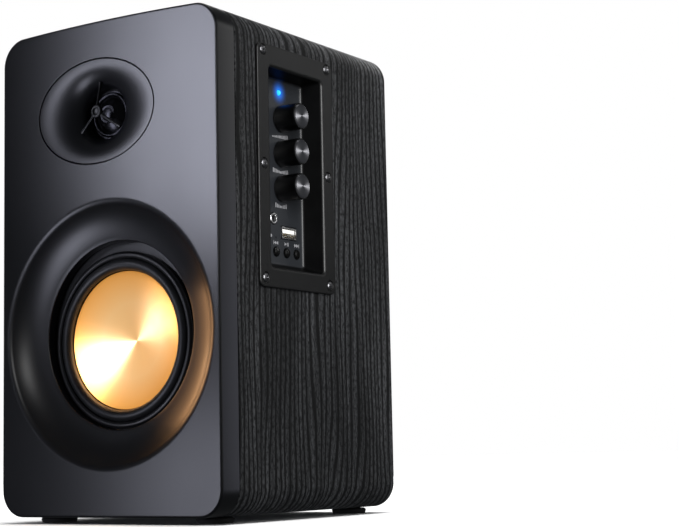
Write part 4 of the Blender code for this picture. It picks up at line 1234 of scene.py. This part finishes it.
def make_terminals():
    """Sprung terminals: block with lever pockets and wire funnels, and two ribbed levers."""
    low, high = ends("terminal_block")
    block = rear_box("terminal_base", low, high, 0.8 * MM)
    cutters = []
    for name in ("negative", "positive"):
        near, far = ends(f"{name}_lever")
        inner = (near.x - 0.5 * MM, high.y - 9 * MM, near.z - 2.2 * MM)
        outer = (far.x + 0.5 * MM, high.y + 2 * MM, far.z + 0.5 * MM)
        cutters.append((box_mesh("hole", inner, outer, 0.4 * MM), seat()))
        funnel = metres([(0, 1), (3.0, 1), (2.5, 0, 0.4), (1.5, -1.4, 0.4), (1.5, -8), (0, -8)])
        at = ((near.x + far.x) / 2, high.y, near.z - 6 * MM)
        cutters.append((turned_mesh("hole", softened(funnel, 3), 32), seat(at, REAR)))
    worked(block, "DIFFERENCE", cutters)
    keep(block, "cabinet", BLACK, ["terminal_block"])

    for name, paint, slot in (("negative", BLACK, "black_plastic"), ("positive", RED, "lever_red")):
        near, far = ends(f"{name}_lever")
        hinge = Vector(((near.x + far.x) / 2, (near.y + far.y) / 2, near.z))
        half = (far - near) / 2
        face, top = half.y - 0.5 * MM, 2 * half.z
        ribs, first, pitch = 5, 6.2 * MM, 1.25 * MM
        section = [(-half.y, 0, 0.8 * MM), (face, 0, 1.0 * MM)]
        for i in range(ribs):
            z = first + pitch * i
            section += [(face, z, 0.1 * MM), (half.y, z + 0.35 * MM, 0.25 * MM)]
            section += [(half.y, z + 0.75 * MM, 0.25 * MM), (face, z + 1.0 * MM, 0.1 * MM)]
        section += [(face, top, 0.5 * MM), (-half.y, top, 0.5 * MM)]
        rows = side_rows(softened(section, 3, True), half.x, 0.25 * MM, 0.96, half.z)
        lever = f"{name}_clip_lever"
        mesh = lofted_mesh(lever, rows)
        piece(lever, mesh, hinge, UP, f"{name}_clip", paint, [f"{name}_lever"])


def make_inlet():
    """Two-pin mains inlet: waisted socket with plated pins."""
    low, high = ends("power_inlet")
    x, z = (low.x + high.x) / 2, (low.z + high.z) / 2
    body = rear_box("inlet_body", low, high, 0.6 * MM)
    lobe, reach = 4.5 * MM, 5.3 * MM
    waist = arc((x + reach, z), lobe, -120, 120, 20) + arc((x - reach, z), lobe, 60, 300, 20)
    rows = [at_depth(waist, depth) for depth in (REAR_FACE - 11 * MM, REAR_FACE + 4 * MM)]
    worked(body, "DIFFERENCE", [(lofted_mesh("socket", rows), seat())])
    keep(body, "cabinet", BLACK, ["power_inlet"])
    section = metres([(0, -1), (0.8, -1, 0.3), (1.2, -1.9, 0.5), (1.2, -12), (0, -12)])
    mesh = turned_mesh("inlet_pin", softened(section, 4), 32)
    for side, way in (("left", -1), ("right", 1)):
        at = (x + way * 4.3 * MM, REAR_FACE, z)
        piece(f"inlet_pin_{side}", mesh, at, REAR, "cabinet", NICKEL)


def make_switch():
    """Mains switch: rimmed housing, and a dished rocker with an on line and an off ring."""
    low, high = ends("switch_housing")
    housing = rear_box("switch_frame", low, high, 0.6 * MM)
    wall = 1.5 * MM
    near = (low.x + wall, REAR_FACE - 10 * MM, low.z + wall)
    far = (high.x - wall, REAR_FACE + 4 * MM, high.z - wall)
    worked(housing, "DIFFERENCE", [(box_mesh("well", near, far, 0.3 * MM), seat())])
    keep(housing, "cabinet", BLACK, ["switch_housing"])

    half_x, half_z = 6.5 * MM, 9.2 * MM
    hollow = arc((16.2 * MM, 0), 14 * MM, 180 - 36, 180 + 36, 18)
    section = [(-4.5 * MM, -3 * MM), (-4.5 * MM, 3 * MM), (0, half_z, 0.6 * MM)]
    section += [(4.2 * MM, half_z - 0.7 * MM, 0.5 * MM), *hollow[1:-1]]
    section += [(4.2 * MM, -half_z + 0.7 * MM, 0.5 * MM), (0, -half_z, 0.6 * MM)]
    rows = side_rows(softened(section, 4, True), half_x, 0.35 * MM, 0.95)
    spot = middle("switch_housing")
    tilt = (math.radians(8), 0, 0)
    at = (spot.x, REAR_FACE - 1.5 * MM, spot.z)
    mesh = lofted_mesh("rocker", rows)
    piece("rocker", mesh, at, tilt, "mains_rocker", KEY_BLACK, ["power_rocker"])
    line = box_mesh("on_line", (-0.3 * MM, 2.2 * MM, 4.2 * MM), (0.3 * MM, 3.04 * MM, 7.2 * MM))
    made = stand("rocker_marks", line, seat(at, tilt))
    ring = turned_mesh("ring", metres([(1.1, -1.2), (1.7, -1.2), (1.7, 0.1), (1.1, 0.1)]), 32, loop=True)
    slope = Euler((math.radians(-90 - 20), 0, 0)).to_matrix().to_4x4()
    place = seat(at, tilt) @ Matrix.Translation((0, 2.95 * MM, -5.6 * MM)) @ slope
    worked(made, "UNION", [(ring, place)])
    keep(made, "mains_rocker", PRINT)


def dress_frame():
    """Give the CAD nodes that stay, all of them inside the cabinet, their finishes."""
    finishes = {
        "driver_board": BOARD,
        "woofer_basket": BLACK,
        "woofer_voice_coil": COPPER,
        "woofer_spider": CLOTH,
        "woofer_top_plate": STEEL,
        "woofer_magnet": FERRITE,
        "woofer_yoke": STEEL,
        "tweeter_magnet": FERRITE,
        "control_board": GREEN,
        "amp_board": GREEN,
        "transformer": STEEL,
        "heat_sink": ALUMINIUM,
    }
    finishes.update({f"{name}_potentiometer": STEEL for name in KNOBS})
    for name, made in frame["nodes"].items():
        if not made.hide_render:
            for spot in made.material_slots:
                spot.material = finishes[name]


# --------------------------------------------------------------------- light and camera


def stage_material():
    """Pale paper for the floor."""
    made = Finish("pale_floor", (0.86, 0.86, 0.86), 0.8)
    where = made.place()
    fibres = made.noise(where, 500, 3)
    cloud = made.noise(where, 1.2, 2)
    return made.finish(
        colour=made.blend(made.span(cloud, 0.3, 0.7), (0.84, 0.84, 0.84), (0.88, 0.88, 0.88)),
        roughness=made.span(fibres, 0.3, 0.7, 0.75, 0.85),
        normal=made.bump(fibres, 0.02 * MM, 0.2),
    )


def make_floor():
    mesh = bpy.data.meshes.new("floor")
    shape = bmesh.new()
    bmesh.ops.create_circle(shape, cap_ends=True, radius=12, segments=96)
    shape.to_mesh(mesh)
    shape.free()
    mesh.materials.append(stage_material())
    floor = stand("floor", mesh, Matrix.Identity(4))
    floor.visible_glossy = False
    floor.visible_diffuse = False
    floor.visible_shadow = False
    return floor


def make_world():
    """White to the camera, and a dim even light for everything else."""
    world = bpy.data.worlds.new("studio")
    bpy.context.scene.world = world
    world.use_nodes = True
    tree = world.node_tree
    tree.nodes.clear()
    path = tree.nodes.new("ShaderNodeLightPath")
    mix = tree.nodes.new("ShaderNodeMixShader")
    out = tree.nodes.new("ShaderNodeOutputWorld")
    tree.links.new(path.outputs["Is Camera Ray"], mix.inputs[0])
    dim, white = ((0.9, 0.95, 1.0, 1), 0.055), ((1, 1, 1, 1), 1.0)
    for socket, (colour, strength) in zip(mix.inputs[1:], (dim, white)):
        shade = tree.nodes.new("ShaderNodeBackground")
        shade.inputs["Color"].default_value = colour
        shade.inputs["Strength"].default_value = strength
        tree.links.new(shade.outputs[0], socket)
    tree.links.new(mix.outputs[0], out.inputs[0])


def heading(round_z, up):
    """A direction from its turn clockwise from +Y and its climb, in degrees."""
    turn, climb = math.radians(round_z), math.radians(up)
    level = math.cos(climb)
    return lambda _: Vector((math.sin(turn) * level, math.cos(turn) * level, math.sin(climb)))


def toward(point):
    """The direction from a lamp to a point."""
    return lambda place: Vector(point) - Vector(place)


def lamp(name, place, way, size, watts, colour=(1, 1, 1), spread=180, receivers=None):
    """A soft area light, hidden from the camera, facing the direction that way gives."""
    data = bpy.data.lights.new(name, "AREA")
    data.shape = "RECTANGLE"
    data.size, data.size_y = size
    data.energy = watts
    data.color = colour
    data.spread = math.radians(spread)
    made = bpy.data.objects.new(name, data)
    made.location = place
    made.rotation_euler = way(place).to_track_quat("-Z", "Y").to_euler()
    made.visible_camera = False
    made.light_linking.receiver_collection = receivers
    bpy.context.scene.collection.objects.link(made)


def sun(name, strength, angle, way, receivers):
    """A distant light as broad as its angle."""
    data = bpy.data.lights.new(name, "SUN")
    data.energy = strength
    data.angle = math.radians(angle)
    made = bpy.data.objects.new(name, data)
    made.rotation_euler = Vector(way).to_track_quat("-Z", "Y").to_euler()
    made.light_linking.receiver_collection = receivers
    bpy.context.scene.collection.objects.link(made)


def group(name, members, state):
    """A light's receivers: only these objects (INCLUDE), or all but these (EXCLUDE)."""
    receivers = bpy.data.collections.new(name)
    for made in members:
        receivers.objects.link(made)
    for member in receivers.collection_objects:
        member.light_linking.link_state = state
    return receivers


def make_lights(floor):
    """Two soft boxes for the front's sheen, soft boxes round the object, and some for one part each."""
    objects = bpy.context.scene.objects
    cone = [objects["spun_cone"]]
    caps = [objects[f"{name}_knob_face"] for name in KNOBS]
    starts = ("panel_", "usb_", "aux_", "cross_panel")
    panel = [o for o in objects if o.name.startswith(starts) and o.type == "MESH"]
    paper_only = group("paper", [floor], "INCLUDE")
    but_cone = group("all_but_cone", cone, "EXCLUDE")
    cone_only = group("cone_only", cone, "INCLUDE")
    but_caps = group("all_but_caps", caps, "EXCLUDE")
    caps_only = group("caps_only", caps, "INCLUDE")
    panel_only = group("panel_parts", panel, "INCLUDE")
    board_only = group("board_only", [objects["front_board"]], "INCLUDE")

    centre = toward((0, 0, 0.13))
    at_cone = toward(ORIGIN + WOOFER)
    cool, cold, gold = (0.92, 0.94, 1.12), (0.87, 0.95, 1.25), (1.0, 0.52, 0.24)
    sun("floor_wash", 3.9, 12, (-0.04, -0.03, -1), paper_only)
    # The two boxes that the front's lacquer mirrors
    way = heading(59.8, 1.9)
    lamp("sheen", (-0.171, -0.425, 0.3), way, (0.196, 0.222), 0.72, cool, 73.4, but_cone)
    way = heading(37.7, 25)
    lamp("low_sheen", (-0.129, -0.36, 0.013), way, (0.121, 0.116), 0.111, cool, 107.6, but_cone)
    lamp("cone_key", (0.336, -0.924, 0.69), at_cone, (1.2, 1.0), 82, cold, receivers=cone_only)
    sun("cone_fill", 2.3, 150, (-0.15, 0.9, -0.25), cone_only)
    lamp("side", (1.25, 0.1, 0.55), centre, (0.5, 1.0), 2.5, receivers=but_caps)
    lamp("side_sheen", (0.75, 0.95, 0.62), centre, (0.35, 0.5), 0.75, receivers=but_caps)
    lamp("cap_key", (1.24, 0.39, 0.36), centre, (0.15, 0.15), 3.0, receivers=caps_only)
    lamp("panel_edge", (0.9, -0.75, 0.3), centre, (0.12, 0.9), 26, receivers=panel_only)
    # The cone's gold light on the bowl beside it
    place = ORIGIN + WOOFER + Vector((6 * MM, 3 * MM, -4 * MM))
    way = heading(114, -14)
    lamp("cone_bounce", place, way, (50 * MM, 50 * MM), 0.0125, gold, 130, board_only)
    lamp("lip", (0.3, -1.15, 0.45), centre, (0.3, 0.3), 1.6, receivers=board_only)
    lamp("board_side", (0.75, 0.95, 0.12), centre, (0.35, 0.5), 0.6, cool, receivers=board_only)
    lamp("top", (-0.1, 0.15, 1.2), centre, (0.7, 0.7), 1.8)
    lamp("left", (-1.2, 0.3, 0.5), centre, (0.6, 1.0), 4)
    lamp("back", (-0.35, 1.25, 0.5), centre, (0.8, 0.9), 7)


def make_camera():
    """Low three-quarter view from the right, about 0.9 m away."""
    data = bpy.data.cameras.new("camera")
    data.sensor_width = 36
    data.lens = 86.8
    data.clip_start = 0.02
    made = bpy.data.objects.new("camera", data)
    place = Matrix.Translation((0.5436, -0.7002, 0.0321))
    yaw, pitch, roll = (math.radians(a) for a in (33.27, 6.557, -1.169))
    aim = Matrix.Rotation(yaw, 4, "Z") @ Matrix.Rotation(math.pi / 2 + pitch, 4, "X")
    made.matrix_world = place @ aim @ Matrix.Rotation(roll, 4, "Z")
    bpy.context.scene.collection.objects.link(made)
    bpy.context.scene.camera = made


bpy.context.scene.view_settings.view_transform = "Standard"
make_camera()
make_shell()
make_baffle()
make_feet()
make_rear_board()
make_woofer()
make_waveguide()
make_phase_plug()
make_dome()
make_panel()
make_screws()
make_knobs()
make_buttons()
make_led()
make_aux_jack()
make_usb()
make_panel_marks()
make_port()
make_plate()
make_line_in()
make_terminals()
make_inlet()
make_switch()
dress_frame()
make_world()
make_lights(make_floor())
